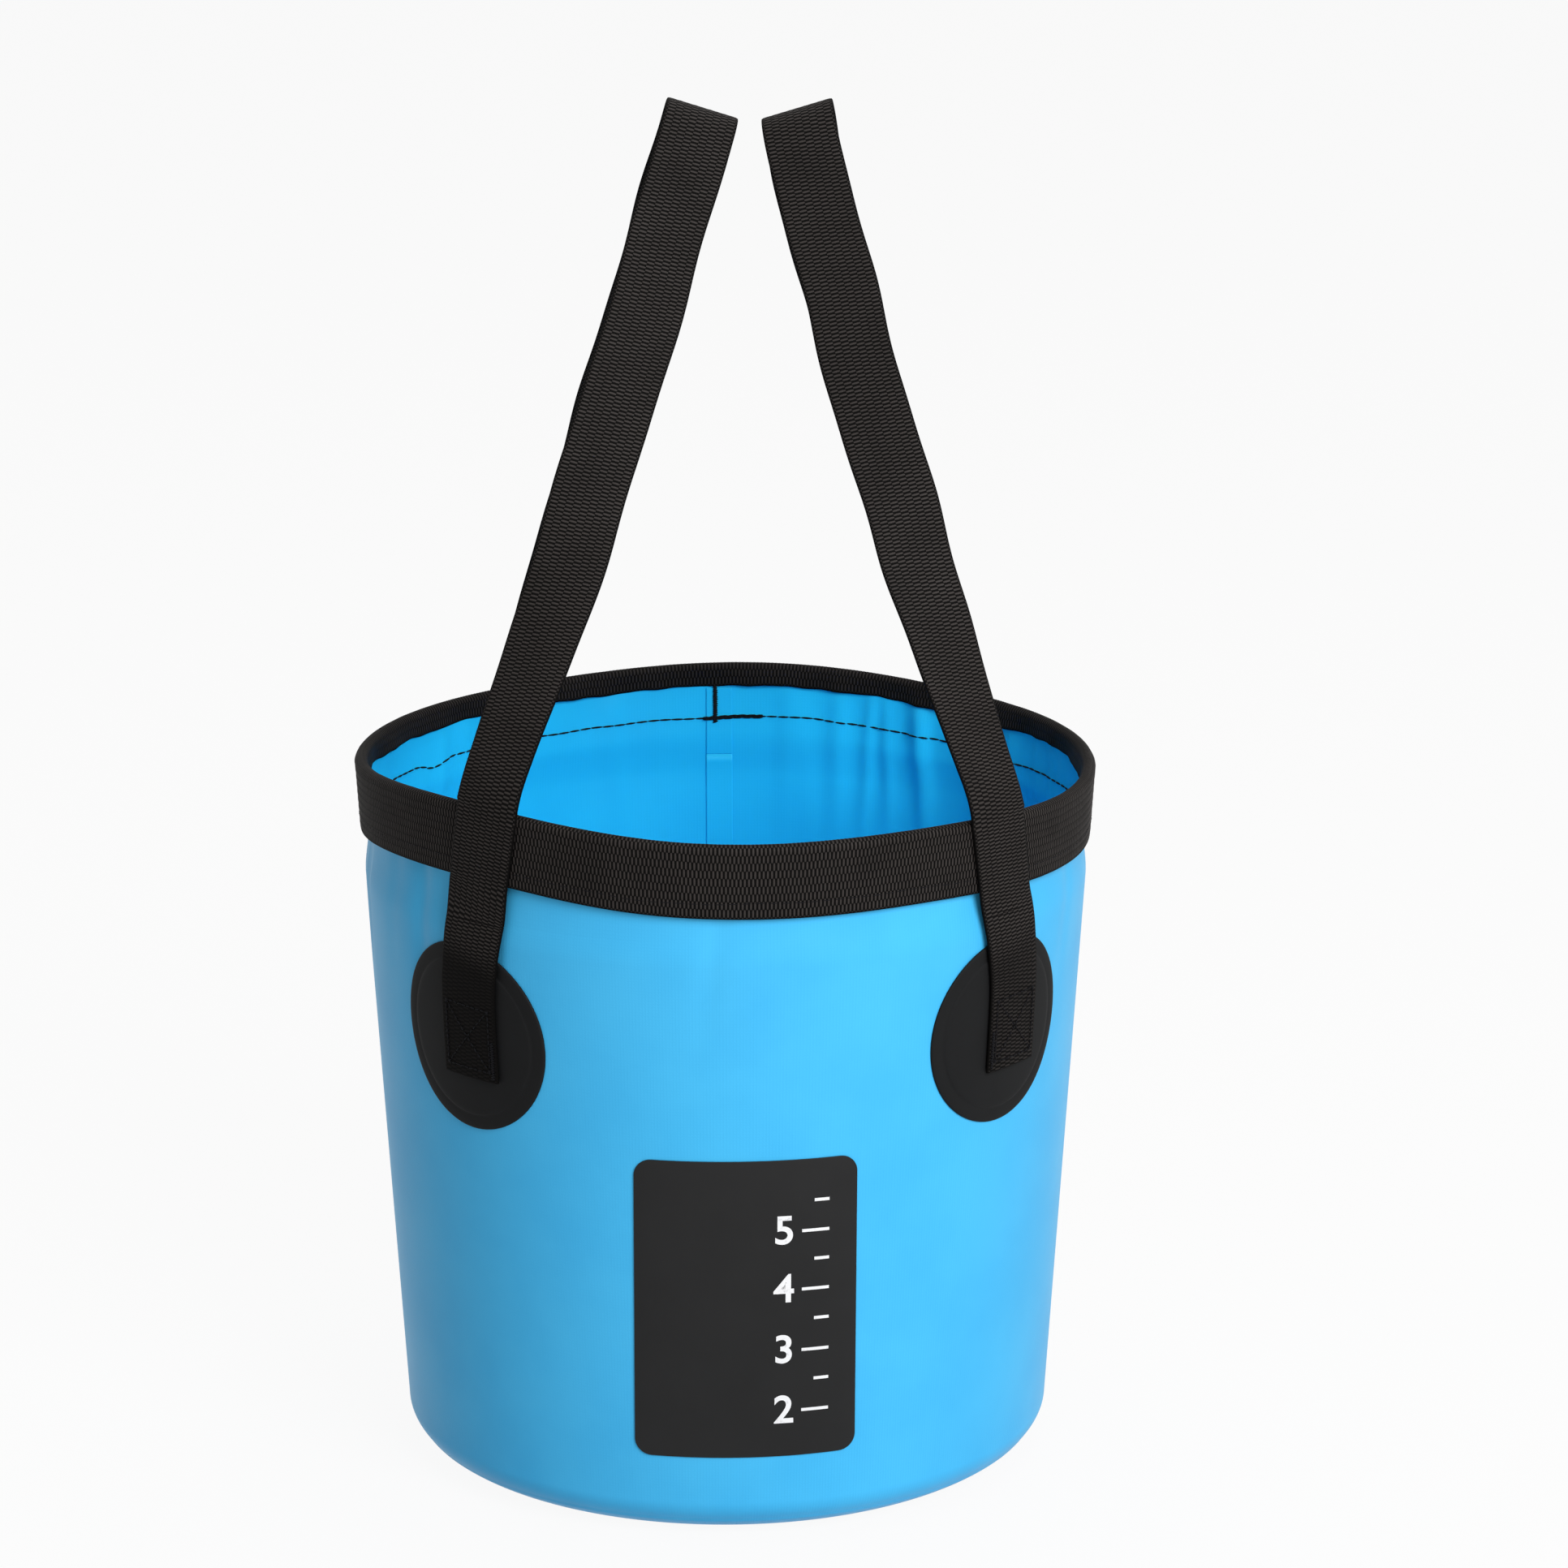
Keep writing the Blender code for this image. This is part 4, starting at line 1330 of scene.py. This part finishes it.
def flatMark(name, bm, height):
    cutUpright(bm, panel["width"] / 2, scale["cutPitch"])
    thicken(bm, scale["print"])
    layOnWall(bm, panelAngle, height, panel["standOff"] + panel["thickness"] + scale["clear"])
    return addObject(name, meshFrom(bm, name, 40), ink)


def makeScale():
    pieces = []
    for half in range(2 * scale["litres"][0], 2 * scale["litres"][-1] + 2):
        height = fillHeight(half / 2)
        length = scale["longTick"] if half % 2 == 0 else scale["shortTick"]
        bm = bmesh.new()
        start, end, rise = scale["tickX"] - length, scale["tickX"], scale["line"] / 2
        corners = (start, -rise), (end, -rise), (end, rise), (start, rise)
        bm.faces.new([bm.verts.new((x, y, 0.0)) for x, y in corners])
        pieces.append(flatMark("tick", bm, height))
    for litres in scale["litres"]:
        text = bpy.data.curves.new("digit", "FONT")
        text.body = str(litres)
        text.size = scale["digit"]
        text.align_x = "RIGHT"
        text.align_y = "CENTER"
        text.offset = scale["weight"]
        holder = addObject("digit", text)
        bm = bmeshOf(plainMesh(holder))
        bpy.data.objects.remove(holder)
        place = scale["tickX"] - scale["longTick"] - scale["digitGap"]
        bmesh.ops.translate(bm, verts=bm.verts[:], vec=(place, 0, 0))
        bmesh.ops.remove_doubles(bm, verts=bm.verts[:], dist=1e-6)
        pieces.append(flatMark("digit", bm, fillHeight(litres)))
    joined = joinPieces("litre_scale", pieces, ink)
    joined.data.shade_flat()
    onBase(joined, "black_panel")


makePanel()
makeScale()
print("label made")

# Camera, lights and floor
shot = {
    "place": (-0.06902, -1.82675, 0.72417), "pitchDown": 14.816, "heading": 2.815,
    "focalPixels": 6557.9, "picturePixels": 1932, "sensor": 36.0, "lampAim": (0, 0, 0.18),
}
camera = bpy.data.cameras.new("camera")
camera.sensor_width = shot["sensor"]
camera.lens = shot["focalPixels"] / shot["picturePixels"] * shot["sensor"]
cameraObject = addObject("camera", camera)
cameraObject.location = shot["place"]
cameraObject.rotation_euler = (math.radians(90 - shot["pitchDown"]), 0, math.radians(-shot["heading"]))
bpy.context.scene.camera = cameraObject

lamps = {  # place, size and power
    "key": ((0.90, -1.64, 1.25), 1.3, 44.0),
    "fill": ((-1.6, -1.6, 1.0), 1.6, 1.0),
    "top": ((0.2, 0.3, 2.1), 1.4, 17.0),
}
for lampName, (place, size, power) in lamps.items():
    light = bpy.data.lights.new(lampName, "AREA")
    light.shape = "DISK"
    light.size = size
    light.energy = power
    holder = addObject(lampName, light)
    holder.location = place
    aim = Vector(shot["lampAim"]) - Vector(place)
    holder.rotation_euler = aim.to_track_quat("-Z", "Y").to_euler()


def whiteShare(maker):  # 1 for what the camera, a mirror or glass sees straight on
    rays = maker.node("ShaderNodeLightPath", out="Is Camera Ray")
    seen = maker.math("MAXIMUM", rays, rays.also("Is Glossy Ray"))
    return maker.math("MAXIMUM", seen, rays.also("Is Transmission Ray"))


room = {"ambient": 0.23, "floorWhite": 0.60, "floorShare": 0.93, "floorSize": 12.0, "floorDrop": -0.0002}
world = bpy.data.worlds.new("studio")
bpy.context.scene.world = world
world.use_nodes = True
worldMaker = Maker(world.node_tree)
backdrop = world.node_tree.nodes["Background"]
strength = whiteShare(worldMaker) * (1 - room["ambient"]) + room["ambient"]
worldMaker.plug(strength, backdrop.inputs["Strength"])
backdrop.inputs["Color"].default_value = (1, 1, 1, 1)

floorMaterial = bpy.data.materials.new("pale_floor")
floorMaterial.use_nodes = True
floorMaker = Maker(floorMaterial.node_tree)
floorNodes = floorMaterial.node_tree.nodes
plain = floorNodes["Principled BSDF"]
plain.inputs["Base Color"].default_value = rgba([room["floorWhite"]] * 3)
plain.inputs["Roughness"].default_value = 0.9
glow = floorMaker.node("ShaderNodeEmission", (), {"Color": (1, 1, 1, 1), "Strength": 1.0})
share = whiteShare(floorMaker) * room["floorShare"]
values = {0: share, 1: Signal(floorMaker, plain.outputs[0]), 2: glow}
mixed = floorMaker.node("ShaderNodeMixShader", (), values)
floorMaker.plug(mixed, floorNodes["Material Output"].inputs["Surface"])
floorMesh = bpy.data.meshes.new("floor")
reach = room["floorSize"] / 2
corners = [(x * reach, y * reach, 0) for x, y in ((-1, -1), (1, -1), (1, 1), (-1, 1))]
floorMesh.from_pydata(corners, [], [(0, 1, 2, 3)])
floor = addObject("floor", floorMesh, floorMaterial)
floor.location.z = room["floorDrop"]
bpy.context.scene.view_settings.view_transform = "Standard"
print("studio made")
